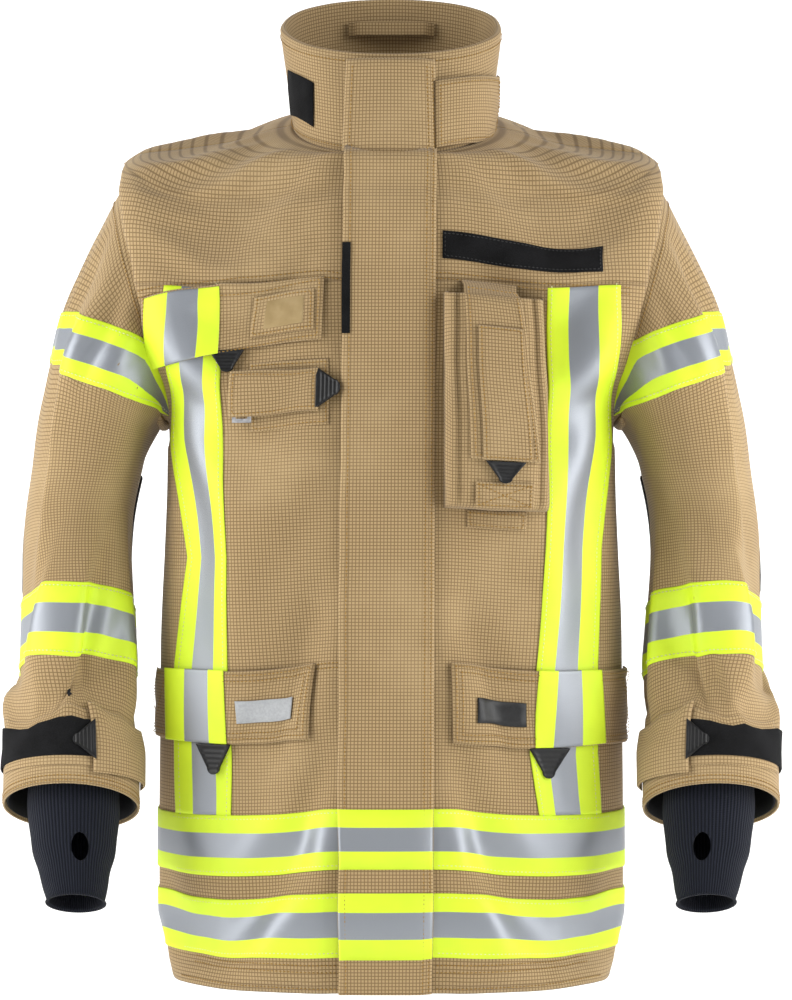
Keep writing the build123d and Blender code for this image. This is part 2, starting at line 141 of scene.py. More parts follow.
class Finish:
    """A new material with a Principled shader."""

    def __init__(self, name, roughness=0.8, metallic=0.0, sheen=0.0, specular=0.5):
        self.material = bpy.data.materials.new(name)
        self.material.use_nodes = True
        self.tree = self.material.node_tree
        self.shader = self.tree.nodes["Principled BSDF"]
        self.shader.inputs["Roughness"].default_value = roughness
        self.shader.inputs["Metallic"].default_value = metallic
        self.shader.inputs["Sheen Weight"].default_value = sheen
        self.shader.inputs["Sheen Roughness"].default_value = 0.6
        self.shader.inputs["Specular IOR Level"].default_value = specular

    def node(self, kind, settings=None, inputs=None, out=0):
        """Any node: its settings are set first, then its sockets are set or linked."""
        made = self.tree.nodes.new(kind)
        for key, value in (settings or {}).items():
            setattr(made, key, value)
        for key, value in (inputs or {}).items():
            if isinstance(value, Reading):
                self.tree.links.new(value.socket, made.inputs[key])
            else:
                made.inputs[key].default_value = value
        return Reading(self, made.outputs[out])

    def uv(self):
        """The piece's own map: metres along and across the cloth."""
        mapped = self.node("ShaderNodeUVMap", {"uv_map": "cloth"})
        split = self.node("ShaderNodeSeparateXYZ", inputs={0: mapped}).socket.node
        return Reading(self, split.outputs[0]), Reading(self, split.outputs[1]), mapped

    def place(self):
        return self.node("ShaderNodeTexCoord", out=3)

    def noise(self, where, scale, detail=3.0, roughness=0.55):
        return self.node("ShaderNodeTexNoise", {"noise_dimensions": "3D"},
                         {"Vector": where, "Scale": scale, "Detail": detail, "Roughness": roughness})

    def ramped(self, value, low, high, to_low=0.0, to_high=1.0):
        """A smooth step from one value to another."""
        return self.node("ShaderNodeMapRange", {"interpolation_type": "SMOOTHSTEP"},
                         {0: value, 1: low, 2: high, 3: to_low, 4: to_high})

    def wave(self, value, period):
        """A triangle wave, from 0 to half the period and back."""
        return self.node("ShaderNodeMath", {"operation": "PINGPONG"}, {0: value, 1: period / 2})

    def mix(self, factor, first, second):
        """Two colours mixed by a factor."""
        made = self.tree.nodes.new("ShaderNodeMix")
        made.data_type = "RGBA"
        for key, value in ((0, factor), (6, first), (7, second)):
            if isinstance(value, Reading):
                self.tree.links.new(value.socket, made.inputs[key])
            elif key == 0:
                made.inputs[key].default_value = value
            else:
                made.inputs[key].default_value = (*value, 1.0)
        return Reading(self, made.outputs[2])

    def colour(self, reading):
        self.tree.links.new(reading.socket, self.shader.inputs["Base Color"])

    def rough(self, reading):
        self.tree.links.new(reading.socket, self.shader.inputs["Roughness"])

    def relief(self, height, depth_mm, strength=1.0):
        """Small relief, as a height from 0 to 1 that stands for a depth in millimetres."""
        bump = self.node("ShaderNodeBump", inputs={"Height": height, "Strength": strength,
                                                   "Distance": depth_mm / 1000})
        self.tree.links.new(bump.socket, self.shader.inputs["Normal"])


# %% [markdown]
# ## Ripstop shell cloth
# The shell is woven in a fine grid: every 3.5 mm a heavier, browner thread crosses the plain weave and
# leaves small tan squares between. The pattern follows the piece's own map, so that it stays on the
# grain of each panel.

# %% Shell cloth


def shell_cloth(name, tan=(0.42, 0.295, 0.145), brown=(0.17, 0.105, 0.042)):
    finish = Finish(name, roughness=0.82, sheen=0.12, specular=0.25)
    along, across, mapped = finish.uv()
    grid = 0.0035
    column = finish.ramped(finish.wave(along, grid), 0.00018, 0.00075)
    row = finish.ramped(finish.wave(across, grid), 0.00018, 0.00075)
    square = column * row
    threads = finish.noise(mapped, 2600.0, 2.0)
    place = finish.place()
    patches = finish.noise(place, 7.0, 4.0)
    weave = finish.mix(square, brown, tan)
    speckled = finish.mix(finish.ramped(threads, 0.30, 0.75, 0.0, 0.35), weave, (0.30, 0.20, 0.085))
    worn = finish.mix(finish.ramped(patches, 0.45, 0.75, 0.0, 0.22), speckled, (0.60, 0.45, 0.24))
    finish.colour(worn)
    finish.rough(finish.ramped(threads, 0.2, 0.8, 0.74, 0.90))
    finish.relief(square * 0.7 + threads * 0.3, 0.25, 0.7)
    return finish.material


SHELL = shell_cloth("ripstop_shell")
print("made", SHELL.name)

# %% [markdown]
# ## Tape, loop, knit, rubber and metal
# The tape is one ribbon: fluorescent yellow at both edges and a silver strip in the middle, so its
# colours are chosen by how far across the ribbon a point lies. The silver part is a layer of tiny glass
# beads on metal, which looks bright where a lamp is behind the viewer and grey where there is none.

# %% Reflective tape


def reflective_tape():
    finish = Finish("reflective_tape", roughness=0.5, sheen=0.0)
    along, across, mapped = finish.uv()
    silver_low = finish.ramped(across, 0.295, 0.305)
    silver_high = finish.ramped(across, 0.705, 0.695)
    silver = silver_low * silver_high
    beads = finish.noise(mapped, 900.0, 2.0)
    stains = finish.noise(finish.place(), 20.0, 3.0)
    yellow = finish.mix(finish.ramped(stains, 0.35, 0.75, 0.0, 0.4), (0.66, 0.86, 0.02), (0.52, 0.72, 0.02))
    grey = finish.mix(finish.ramped(beads, 0.3, 0.7), (0.20, 0.215, 0.24), (0.33, 0.35, 0.38))
    finish.colour(finish.mix(silver, yellow, grey))
    finish.tree.links.new((silver * 0.45).socket, finish.shader.inputs["Metallic"])
    finish.rough(0.62 - silver * 0.17)
    cloth = finish.wave(along, 0.0016) * 600.0
    finish.relief(cloth * (1 - silver) + beads * 0.25, 0.12, 0.5)
    return finish.material


def plain_finish(name, dark, light, roughness, grain, depth_mm, metallic=0.0, sheen=0.0, mapped=False,
                 specular=0.15):
    """A finish with a fine grain in its colour, roughness and relief."""
    finish = Finish(name, roughness=roughness, metallic=metallic, sheen=sheen, specular=specular)
    where = finish.uv()[2] if mapped else finish.place()
    fine = finish.noise(where, grain, 3.0)
    broad = finish.noise(finish.place(), 30.0, 2.0)
    finish.colour(finish.mix(finish.ramped(fine * 0.6 + broad * 0.4, 0.3, 0.7), dark, light))
    finish.rough(finish.ramped(fine, 0.2, 0.8, roughness - 0.08, min(1.0, roughness + 0.08)))
    finish.relief(fine, depth_mm, 0.8)
    return finish.material


def rib_knit():
    finish = Finish("rib_knit", roughness=0.9, sheen=0.04, specular=0.1)
    along, across = finish.uv()[:2]
    ribs = finish.wave(along, 0.0032) * 625.0
    loops = finish.wave(across, 0.0018) * 1111.0
    # The colour is darker in the grooves between the ribs and lighter on their crests: painted shade on one
    # navy yarn.
    finish.colour(finish.mix(finish.ramped(ribs, 0.1, 0.8), (0.003, 0.004, 0.007), (0.013, 0.015, 0.024)))
    finish.relief(ribs * 0.8 + loops * 0.2, 0.9, 1.0)
    return finish.material


TAPE = reflective_tape()
LOOP_PILE = plain_finish("loop_pile", (0.002, 0.002, 0.002), (0.012, 0.012, 0.013), 0.95, 1400.0, 0.6,
                         sheen=0.03, specular=0.08)
RUBBER = plain_finish("moulded_rubber", (0.004, 0.004, 0.004), (0.010, 0.010, 0.011), 0.42, 500.0, 0.05,
                      specular=0.35)
SILICONE = plain_finish("grey_silicone", (0.33, 0.34, 0.35), (0.42, 0.43, 0.44), 0.55, 400.0, 0.05)
PAD_CLOTH = plain_finish("coated_pad_cloth", (0.008, 0.008, 0.009), (0.024, 0.024, 0.026), 0.62, 1100.0, 0.25)
LINING = plain_finish("black_lining", (0.008, 0.008, 0.009), (0.026, 0.026, 0.028), 0.85, 900.0, 0.2)
BARRIER = plain_finish("barrier_cloth", (0.50, 0.49, 0.44), (0.62, 0.61, 0.56), 0.7, 700.0, 0.1)
STEEL = plain_finish("satin_steel", (0.33, 0.33, 0.34), (0.50, 0.50, 0.51), 0.34, 350.0, 0.03, metallic=0.95)
BRASS = plain_finish("satin_brass", (0.48, 0.35, 0.13), (0.62, 0.47, 0.20), 0.35, 350.0, 0.03, metallic=0.95)
THREAD = plain_finish("golden_thread", (0.26, 0.14, 0.03), (0.40, 0.24, 0.06), 0.6, 2500.0, 0.1)
PALE_THREAD = plain_finish("pale_thread", (0.55, 0.58, 0.30), (0.70, 0.72, 0.42), 0.6, 2500.0, 0.1)
DARK_THREAD = plain_finish("dark_thread", (0.02, 0.02, 0.02), (0.05, 0.05, 0.05), 0.6, 2500.0, 0.1)
VINYL = plain_finish("clear_vinyl", (0.30, 0.215, 0.10), (0.38, 0.28, 0.14), 0.22, 60.0, 0.2)
KNIT = rib_knit()
print("materials", len(bpy.data.materials))

# %% [markdown]
# ## The body as one smooth surface
# Every panel, flap and strip of tape lies on the same body, so that body is described once: rings round
# the coat at a dozen levels, each with its width, its front and its back. Between the levels the rings are
# blended with a cubic curve. Above the waist the rings tilt, because a coat's neck is lower in front.

# %% Rings of the body: half width, front y and z, back y and z, squareness
BODY_RINGS = np.array([
    (231, -164.8, 5, 150, 5, 2.5), (230, -158, 150, 151, 150, 2.5), (229, -150.9, 300, 152, 300, 2.5),
    (229, -144, 450, 154, 450, 2.6), (231, -137.3, 588, 156, 588, 2.9), (262, -134.4, 650, 157, 650, 3.6),
    (292, -131.3, 714, 156, 714, 3.7), (294, -129, 752, 150, 778, 3.6), (288, -126.5, 785, 132, 855, 3.3),
    (276, -122, 808, 112, 882, 2.8), (215, -120, 833, 95, 914, 2.5), (150, -122, 846, 84, 930, 2.3),
    (103, -125, 851, 75, 941, 2.1)], float)
COLLAR_RINGS = np.array([
    (103, -125, 851, 75, 941, 2.1), (107, -123.5, 880, 72, 966, 2.1), (110, -122, 905, 67, 992, 2.1),
    (114, -120.6, 935, 62, 1024, 2.1), (116, -120.4, 952, 60, 1043, 2.1)], float)
ARM_CENTRE = np.array([254.0, 6.0, 714.0])
ARM_AXIS = np.array([0.982, 0.0, -0.190])
ARM_FOOT = 560.0
ROUND_STEPS = 144


def cubic(rows, steps):
    """Rows blended by a Catmull-Rom curve, with the same number of steps in each span."""
    rows = np.asarray(rows, float)
    padded = np.concatenate([[2 * rows[0] - rows[1]], rows, [2 * rows[-1] - rows[-2]]])
    out = []
    for k in range(len(rows) - 1):
        a, b, c, d = padded[k:k + 4]
        for t in np.arange(steps) / steps:
            out.append(0.5 * (2 * b + (c - a) * t + (2 * a - 5 * b + 4 * c - d) * t ** 2
                              + (3 * b - a - 3 * c + d) * t ** 3))
    return np.array(out + [rows[-1]])


def ring_points(ring):
    """Points round one ring, evenly spaced in each quarter, from the wearer's left by the back."""
    half, front_y, front_z, back_y, back_z, square = ring
    turn = np.linspace(0, np.pi / 2, 181)
    across = half * np.cos(turn) ** (2 / square)
    deep = np.sin(turn) ** (2 / square)
    depth = np.hypot(back_y - front_y, back_z - front_z) / 2
    length = np.concatenate([[0], np.cumsum(np.hypot(np.diff(across), np.diff(deep * depth)))])
    quarter = np.linspace(0, length[-1], ROUND_STEPS // 4 + 1)
    x = np.interp(quarter, length, across)
    s = np.interp(quarter, length, deep)
    x_all = np.concatenate([x[:-1], -x[::-1][:-1], -x[:-1], x[::-1][:-1]])
    s_all = np.concatenate([s[:-1], s[::-1][:-1], -s[:-1], -s[::-1][:-1]])
    y = (front_y + back_y) / 2 + s_all * (back_y - front_y) / 2
    z = (front_z + back_z) / 2 + s_all * (back_z - front_z) / 2
    return np.stack([x_all, y, z], 1)


class Surface:
    """A closed tube of cloth as a grid of points, which can be sampled anywhere."""

    def __init__(self, grid):
        self.rest = grid
        self.shape(grid)
        middle = (grid.shape[1] * 3) // 4
        steps = np.linalg.norm(np.diff(grid[:, middle], axis=0), axis=1)
        self.height = np.concatenate([[0], np.cumsum(steps)])
        around = np.linalg.norm(np.roll(grid, -1, 1) - grid, axis=2)
        self.around = np.concatenate([np.zeros((len(grid), 1)), np.cumsum(around, 1)], 1)

    def shape(self, grid):
        """Take new positions, such as those of a simulation."""
        self.grid = grid
        along_u = np.roll(grid, -1, 1) - np.roll(grid, 1, 1)
        along_v = np.gradient(grid, axis=0)
        normal = np.cross(along_u, along_v)
        normal /= np.linalg.norm(normal, axis=2, keepdims=True) + 1e-9
        self.normal = normal
        calm, calm_normal = grid, normal
        for _ in range(24):
            calm, calm_normal = self.blurred(calm), self.blurred(calm_normal)
        self.calm, self.calm_normal = calm, calm_normal

    def blurred(self, table):
        """Softened round the tube and along it, with the first and last rows kept."""
        table = (np.roll(table, 1, 1) + 2 * table + np.roll(table, -1, 1)) / 4
        soft = table.copy()
        soft[1:-1] = (table[:-2] + 2 * table[1:-1] + table[2:]) / 4
        return soft

    def lookup(self, table, u, v):
        rows, columns = table.shape[:2]
        u = np.asarray(u, float) * columns
        v = np.clip(np.asarray(v, float), 0, rows - 1 - 1e-9)
        i, j = np.floor(v).astype(int), np.floor(u).astype(int)
        s, t = (v - i)[..., None], (u - j)[..., None]
        j0, j1 = j % columns, (j + 1) % columns
        low = table[i, j0] * (1 - t) + table[i, j1] * t
        high = table[i + 1, j0] * (1 - t) + table[i + 1, j1] * t
        return low * (1 - s) + high * s

    def at(self, u, v, lift=0.0, rest=False):
        """A point at turn u (0 to 1) and row v, lifted off the cloth."""
        point = self.lookup(self.rest if rest else self.grid, u, v)
        if np.any(lift):
            lift = np.asarray(lift, float)
            stiff = smooth((lift - 9.0) / 8.0)[..., None] if not rest else 0.0
            normal = self.lookup(self.normal, u, v) * (1 - stiff)
            normal = normal + self.lookup(self.calm_normal, u, v) * stiff
            point = point * (1 - stiff) + self.lookup(self.calm, u, v) * stiff
            normal = normal / (np.linalg.norm(normal, axis=-1, keepdims=True) + 1e-9)
            point = point + normal * np.asarray(lift, float)[..., None]
        return point

    def level(self, z, column=0.75):
        """The row whose front, or other column, is at height z."""
        heights = self.rest[:, int(column * self.rest.shape[1]) % self.rest.shape[1], 2]
        order = np.argsort(heights)
        return np.interp(z, heights[order], order.astype(float))

    def seen_at(self, x, z):
        """Turn and row of the front point seen at x and z, by Newton's method on the rest grid."""
        x, z = np.broadcast_arrays(np.asarray(x, float), np.asarray(z, float))
        rows, columns = self.rest.shape[:2]
        front = self.rest[:, columns // 2:, :]
        flat = front.reshape(-1, 3)
        facing = self.normal[:, columns // 2:, 1].reshape(-1)
        cost = (flat[None, :, 0] - x.reshape(-1, 1)) ** 2 + (flat[None, :, 2] - z.reshape(-1, 1)) ** 2
        cost = cost + np.where(facing[None, :] > -0.02, 1e5, 0)
        best = np.argmin(cost, 1)
        v = (best // front.shape[1]).astype(float)
        u = (best % front.shape[1] + columns // 2) / columns
        step = 1e-3
        for _ in range(12):
            here = self.at(u, v, rest=True)
            du = (self.at(u + step / 4, v, rest=True) - here) / (step / 4)
            dv = (self.at(u, np.minimum(v + 0.05, rows - 1.001), rest=True) - here) / 0.05
            error_x, error_z = x.reshape(-1) - here[:, 0], z.reshape(-1) - here[:, 2]
            det = du[:, 0] * dv[:, 2] - du[:, 2] * dv[:, 0]
            det = np.where(np.abs(det) < 1e-3, 1e-3, det)
            u_step = (error_x * dv[:, 2] - error_z * dv[:, 0]) / det
            v_step = (du[:, 0] * error_z - du[:, 2] * error_x) / det
            u = u + 0.8 * np.clip(u_step, -0.02, 0.02)
            v = np.clip(v + 0.8 * np.clip(v_step, -2, 2), 0, rows - 1.001)
        return u.reshape(x.shape), v.reshape(x.shape)


def body_surface(rings, steps):
    blended = cubic(rings, steps)
    return Surface(np.array([ring_points(ring) for ring in blended]))


body = body_surface(BODY_RINGS, 9)
collar = body_surface(COLLAR_RINGS, 5)
print("body grid", body.grid.shape, "collar grid", collar.grid.shape)

# %% [markdown]
# ## Sleeves that start from the armhole
# The armhole is cut where a slanted plane meets the body, so the sleeve's first ring is measured from the
# body itself. The other rings follow the arm: down from the shoulder, forward from the elbow.

# %% The armhole's curve and the sleeve's rings
ARM_ROWS = [
    ((295, 4, 650), (0.72, 0, -0.69), 88, 113), ((313, 2, 590), (0.32, 0, -0.95), 76, 97),
    ((324, 0, 532), (0.12, -0.04, -0.99), 72.5, 86), ((333, -6, 468), (0.02, -0.20, -0.98), 71, 78),
    ((332, -35, 372), (0, -0.36, -0.93), 70, 73), ((330, -70, 284), (0, -0.38, -0.92), 70, 69),
    ((327, -107, 187), (0, -0.46, -0.89), 69.5, 66)]
SLEEVE_ROUND = 96


def crossing(surface, side, front, v):
    """The turn at which row v meets the armhole's plane, on the front or the back."""
    axis = ARM_AXIS * [side, 1, 1]
    centre = ARM_CENTRE * [side, 1, 1]
    middle = 0.75 if front else 0.25
    edge = {(1, True): 1.0, (-1, True): 0.5, (1, False): 0.0, (-1, False): 0.5}[(side, front)]
    t = np.linspace(0, 1, 145)
    out = []
    for row in np.atleast_1d(v):
        u = middle + (edge - middle) * t
        if surface.at(np.array([middle]), np.array([row]), rest=True)[0, 2] < ARM_FOOT:
            out.append(edge)
            continue
        distance = (surface.at(u, np.full_like(u, row), rest=True) - centre) @ axis
        beyond = np.nonzero(distance > 0)[0]
        if len(beyond) == 0 or beyond[0] == 0:
            out.append(edge)
            continue
        k = beyond[0]
        share = distance[k - 1] / (distance[k - 1] - distance[k])
        out.append(u[k - 1] + (u[k] - u[k - 1]) * share)
    return np.array(out)


def armhole_curve(side, count):
    """Points of the armhole at even angles about its centre, from the top by the front."""
    v = np.linspace(body.level(560), len(body.grid) - 1, 400)
    points = []
    for front in (True, False):
        u = crossing(body, side, front, v)
        edge = {True: 1.0 if side > 0 else 0.5, False: 0.0 if side > 0 else 0.5}[front]
        inside = np.abs(u - edge) > 1e-6
        points.append(body.at(u[inside], v[inside], rest=True))
    points = np.concatenate(points)
    rel = points - ARM_CENTRE * [side, 1, 1]
    up = np.array([side * 0.190, 0, 0.982])
    angle = np.arctan2(-rel[:, 1], rel @ up) % (2 * np.pi)
    radius = np.hypot(rel[:, 1], rel @ up)
    order = np.argsort(angle)
    even = np.arange(count) / count * 2 * np.pi
    r = np.interp(even, angle[order], radius[order], period=2 * np.pi)
    for _ in range(3):
        r = (np.roll(r, 1) + 2 * r + np.roll(r, -1)) / 4
    centre = ARM_CENTRE * [side, 1, 1]
    return centre + np.outer(np.cos(even) * r, up) - np.outer(np.sin(even) * r, [0, 1, 0])


def arm_ring(row, side):
    centre, way, across, deep = row
    way = np.array(way, float) * [side, 1, 1]
    way /= np.linalg.norm(way)
    out = np.cross([0, 1, 0], way)
    out = -out / np.linalg.norm(out) * side
    back = np.cross(way, out)
    back *= np.sign(back[1])
    angle = np.arange(SLEEVE_ROUND) / SLEEVE_ROUND * 2 * np.pi
    centre = np.array(centre, float) * [side, 1, 1]
    return centre + np.outer(np.cos(angle) * across, out) - np.outer(np.sin(angle) * deep, back)


def sleeve_surface(side):
    rings = [armhole_curve(side, SLEEVE_ROUND)] + [arm_ring(row, side) for row in ARM_ROWS]
    rows = cubic(np.array([ring.reshape(-1) for ring in rings]), 12)
    grid = rows.reshape(len(rows), SLEEVE_ROUND, 3)
    if side < 0:
        grid = grid[:, ::-1].copy()
        grid = np.roll(grid, 1, 1)
    return Surface(grid)


sleeves = {side: sleeve_surface(side) for side in (-1, 1)}
print("sleeve grid", sleeves[1].grid.shape)

# %% [markdown]
# ## Letting the cloth hang
# Real shell cloth is a little larger than the form under it and buckles in soft folds. Blender's Cloth
# does that: the grid is made a few percent too long, its sewn edges are pinned, and a weak pull keeps the
# rest near its pattern. The result is read back as plain points, so nothing live stays in the scene.

# %% Cloth simulation of a tube


def hang(surface, pins, growth, frames, stiffness, gravity=1.0):
    """Simulate a closed tube of cloth; pins is a weight from 0 to 1 for each point."""
    rows, columns = surface.grid.shape[:2]
    faces = [(i * columns + j, i * columns + (j + 1) % columns,
              (i + 1) * columns + (j + 1) % columns, (i + 1) * columns + j)
             for i in range(rows - 1) for j in range(columns)]
    mesh = bpy.data.meshes.new("hanging")
    mesh.from_pydata(to_frame(surface.grid).reshape(-1, 3).tolist(), [], faces)
    piece = bpy.data.objects.new("hanging", mesh)
    bpy.context.scene.collection.objects.link(piece)
    group = piece.vertex_groups.new(name="sewn")
    levels = np.round(pins.reshape(-1), 3)
    for weight in np.unique(levels):
        group.add(np.nonzero(levels == weight)[0].tolist(), float(weight), "REPLACE")
    cloth = piece.modifiers.new("cloth", "CLOTH")
    cloth.settings.quality = 5
    cloth.settings.mass = 0.4
    cloth.settings.tension_stiffness = 40
    cloth.settings.compression_stiffness = 40
    cloth.settings.shear_stiffness = 20
    cloth.settings.bending_stiffness = stiffness
    cloth.settings.air_damping = 3
    cloth.settings.vertex_group_mass = "sewn"
    cloth.settings.pin_stiffness = 1.0
    cloth.settings.shrink_min = -growth
    cloth.settings.effector_weights.gravity = gravity
    cloth.collision_settings.use_collision = False
    cloth.point_cache.frame_end = frames + 1
    scene = bpy.context.scene
    for step in range(1, frames + 1):
        scene.frame_set(step)
    evaluated = piece.evaluated_get(bpy.context.evaluated_depsgraph_get())
    found = np.zeros(rows * columns * 3, np.float32)
    evaluated.data.vertices.foreach_get("co", found)
    moved = found.reshape(rows, columns, 3).astype(float) * 1000.0 + LOOP
    shift = moved - surface.grid
    for _ in range(2):
        shift = (np.roll(shift, 1, 1) + 2 * shift + np.roll(shift, -1, 1)) / 4
        shift[1:-1] = (shift[:-2] + 2 * shift[1:-1] + shift[2:]) / 4
    shift = shift - shift.mean(1, keepdims=True)
    swell = (shift * surface.normal).sum(2).mean(1)
    shift = shift - swell[:, None, None] * surface.normal
    print("hung", rows * columns, "points; largest move", round(float(np.abs(shift).max()), 1), "mm")
    bpy.data.objects.remove(piece, do_unlink=True)
    bpy.data.meshes.remove(mesh)
    scene.frame_set(1)
    return surface.grid + shift * np.clip(16.0 / (np.linalg.norm(shift, axis=2, keepdims=True) + 1e-6), 0, 1)


def body_pins(surface):
    """Firm at the hem, front, neck and armholes; elsewhere only a weak pull to the pattern."""
    rows, columns = surface.grid.shape[:2]
    weight = np.full((rows, columns), 0.10)
    weight[-6:] = 1.0
    weight[0] = 0.6
    turn = np.arange(columns) / columns
    front = np.abs(turn - 0.75) * columns < 7
    weight[:, front] = 1.0
    for side in (-1, 1):
        distance = (surface.grid - ARM_CENTRE * [side, 1, 1]) @ (ARM_AXIS * [side, 1, 1])
        near = (surface.grid[:, :, 2] > 570) & (distance > -12)
        weight[near] = 1.0
    return weight


def sleeve_pins(surface):
    rows, columns = surface.grid.shape[:2]
    weight = np.full((rows, columns), 0.07)
    weight[:3] = 1.0
    weight[-7:] = 1.0
    weight[3:7] = 0.3
    return weight


body.shape(hang(body, body_pins(body), 0.03, 16, 8.0))
for side in (-1, 1):
    sleeves[side].shape(hang(sleeves[side], sleeve_pins(sleeves[side]), 0.06, 22, 4.0))

# %% [markdown]
# ## From grids of points to closed cloth
# A sheet of cloth has two faces and an edge all round. `sheet_arrays` joins an outer and an inner grid into
# one closed mesh, with a map in metres so that the weave keeps its size.

# %% Mesh makers
FRONT_TURN = {-1: 0.75, 1: 0.25}
made_sheets = []


def mesh_object(name, verts, faces, corner_uv, material):
    """A mesh object at the origin, its faces turned outwards, with a map for its cloth."""
    import bmesh
    mesh = bpy.data.meshes.new(name)
    mesh.from_pydata(to_frame(verts).tolist(), [], [tuple(int(k) for k in f) for f in faces])
    layer = mesh.uv_layers.new(name="cloth")
    flat = np.asarray(corner_uv, float)[np.concatenate([np.asarray(f) for f in faces])]
    layer.data.foreach_set("uv", flat.reshape(-1).astype(np.float32))
    mesh.materials.append(material)
    mesh.polygons.foreach_set("use_smooth", [True] * len(mesh.polygons))
    work = bmesh.new()
    work.from_mesh(mesh)
    bmesh.ops.recalc_face_normals(work, faces=work.faces)
    work.to_mesh(mesh)
    work.free()
    piece = bpy.data.objects.new(name, mesh)
    bpy.context.scene.collection.objects.link(piece)
    return piece


def sheet_arrays(outer, inner, uv, wrap=False):
    """Vertices, faces and map of a closed sheet. With wrap, the grid closes on itself round the tube."""
    rows, columns = outer.shape[:2]
    count = rows * columns
    verts = np.concatenate([outer.reshape(-1, 3), inner.reshape(-1, 3)])
    faces = []
    spans = columns if wrap else columns - 1
    for i in range(rows - 1):
        for j in range(spans):
            k = (j + 1) % columns
            a, b, c, d = i * columns + j, i * columns + k, (i + 1) * columns + k, (i + 1) * columns + j
            faces.append((a, b, c, d))
            faces.append((d + count, c + count, b + count, a + count))
    for i in (0, rows - 1):
        for j in range(spans):
            a, b = i * columns + j, i * columns + (j + 1) % columns
            faces.append((a, a + count, b + count, b) if i == 0 else (b, b + count, a + count, a))
    if not wrap:
        for j in (0, columns - 1):
            for i in range(rows - 1):
                a, b = i * columns + j, (i + 1) * columns + j
                faces.append((b, b + count, a + count, a) if j == 0 else (a, a + count, b + count, b))
    both = np.concatenate([uv.reshape(-1, 2), uv.reshape(-1, 2)])
    return verts, faces, both


def joined(name, parts, material):
    """One object from several sets of arrays."""
    verts, faces, maps, start = [], [], [], 0
    for part_verts, part_faces, part_uv in parts:
        verts.append(part_verts)
        maps.append(part_uv)
        faces += [tuple(k + start for k in face) for face in part_faces]
        start += len(part_verts)
    return mesh_object(name, np.concatenate(verts), faces, np.concatenate(maps), material)


def declare_sheet(piece):
    """Work out how large this cloth is when it is laid flat, from half its closed area, and add it to the
    list of sheets.
    """
    area = sum(face.area for face in piece.data.polygons) / 2
    spans = piece.data.uv_layers["cloth"].data
    us = [item.uv[0] for item in spans]
    width = max(0.02, min(max(us) - min(us), 2.5))
    if piece.data.materials[0] == TAPE:
        width = 0.075
    length = area / width
    made_sheets.append((piece.name, round(width, 3), round(length, 3)))


def grid_map(points):
    """Metres along the rows and columns of a grid of points."""
    along = np.linalg.norm(np.diff(points, axis=1), axis=2).mean(0)
    across = np.linalg.norm(np.diff(points, axis=0), axis=2).mean(1)
    u = np.concatenate([[0], np.cumsum(along)]) / 1000
    v = np.concatenate([[0], np.cumsum(across)]) / 1000
    return np.stack(np.meshgrid(u, v), -1)


def edged(count, edge=0.02):
    """Even steps from 0 to 1 with one more close to each end, for a turned edge."""
    return np.concatenate([[0], [edge], np.linspace(0, 1, count)[1:-1], [1 - edge], [1]])


# %% [markdown]
# ## Panels of the shell and its linings
# The shell is six panels: two fronts and a back below the yoke seam, and three yokes above it. A panel
# ends at the side seam low down and at the armhole higher up.

# %% Panels
ZIP_TURN = 0.010
yoke_row = float(body.level(717.0))
hem_row, neck_row = 0.0, len(body.grid) - 1.0


def panel_arrays(side, front, low, high, lift, thick, columns=44, gap=ZIP_TURN, density=1.0):
    """One side's front or back between two rows, from its middle to the side seam or armhole."""
    rows = max(3, int((high - low) * density) + 1)
    v = np.linspace(low, high, rows)
    edge = crossing(body, side, front, v)
    middle = np.full(rows, 0.75 + side * gap if front else 0.25)
    t = np.linspace(0, 1, columns)
    u = middle[:, None] + (edge - middle)[:, None] * t
    vv = v[:, None] * np.ones(columns)
    outer = body.at(u, vv, np.full_like(u, lift))
    inner = body.at(u, vv, np.full_like(u, lift - thick))
    around = body.lookup(body.around[:, :-1, None], u % 1.0, vv)[..., 0]
    centre = body.lookup(body.around[:, :-1, None], middle[:, None] * np.ones(columns), vv)[..., 0]
    across = np.where(np.abs(u - middle[:, None]) < 1e-9, 0, around - centre) / 1000
    total = grid_map(outer)[..., 0]
    across = np.where(np.abs(np.abs(across) - total) > 0.25, np.sign(side) * total, across)
    height = np.interp(vv, np.arange(len(body.height)), body.height) / 1000
    return sheet_arrays(outer, inner, np.stack([across, height], -1))


def cloth_piece(name, parts, material, body_name, nodes, blend=None):
    piece = joined(name, parts, material)
    if blend:
        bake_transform(piece)
    else:
        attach(piece, body_name)
    if nodes:
        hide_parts(*nodes)
    declare_sheet(piece)
    return piece


for side, word in ((-1, "right"), (1, "left")):
    cloth_piece(word + "_front", [panel_arrays(side, True, hem_row, yoke_row, 0, 2.0)], SHELL, "coat",
                [word + "_front_panel"])
    cloth_piece(word + "_shoulder_yoke", [panel_arrays(side, True, yoke_row, neck_row, 0.4, 2.0)], SHELL,
                "coat", [word + "_yoke"])
cloth_piece("back", [panel_arrays(s, False, hem_row, yoke_row, 0, 2.0) for s in (-1, 1)], SHELL, "coat",
            ["back_panel"])
cloth_piece("back_shoulder_yoke", [panel_arrays(s, False, yoke_row, neck_row, 0.4, 2.0) for s in (-1, 1)],
            SHELL, "coat", ["back_yoke"])
for name, lift, material, node, slot, low in (
        ("barrier", -3.6, BARRIER, "moisture_barrier", "barrier_film", 3.0),
        ("quilted_liner", -6.5, LINING, "thermal_liner", "lining_cloth", 2.0)):
    parts = [panel_arrays(side, front, low, neck_row, lift, 1.4, 30, 0.02, 0.6)
             for side in (-1, 1) for front in (True, False)]
    cloth_piece(name, parts, material, "coat", [node])
print("shell panels and linings made")

# %% [markdown]
# ## The collar
# The collar is padded and stands up: its outer cloth rises to a soft rim and turns down inside, so its
# section is a closed loop that is carried round the neck.

# %% Collar


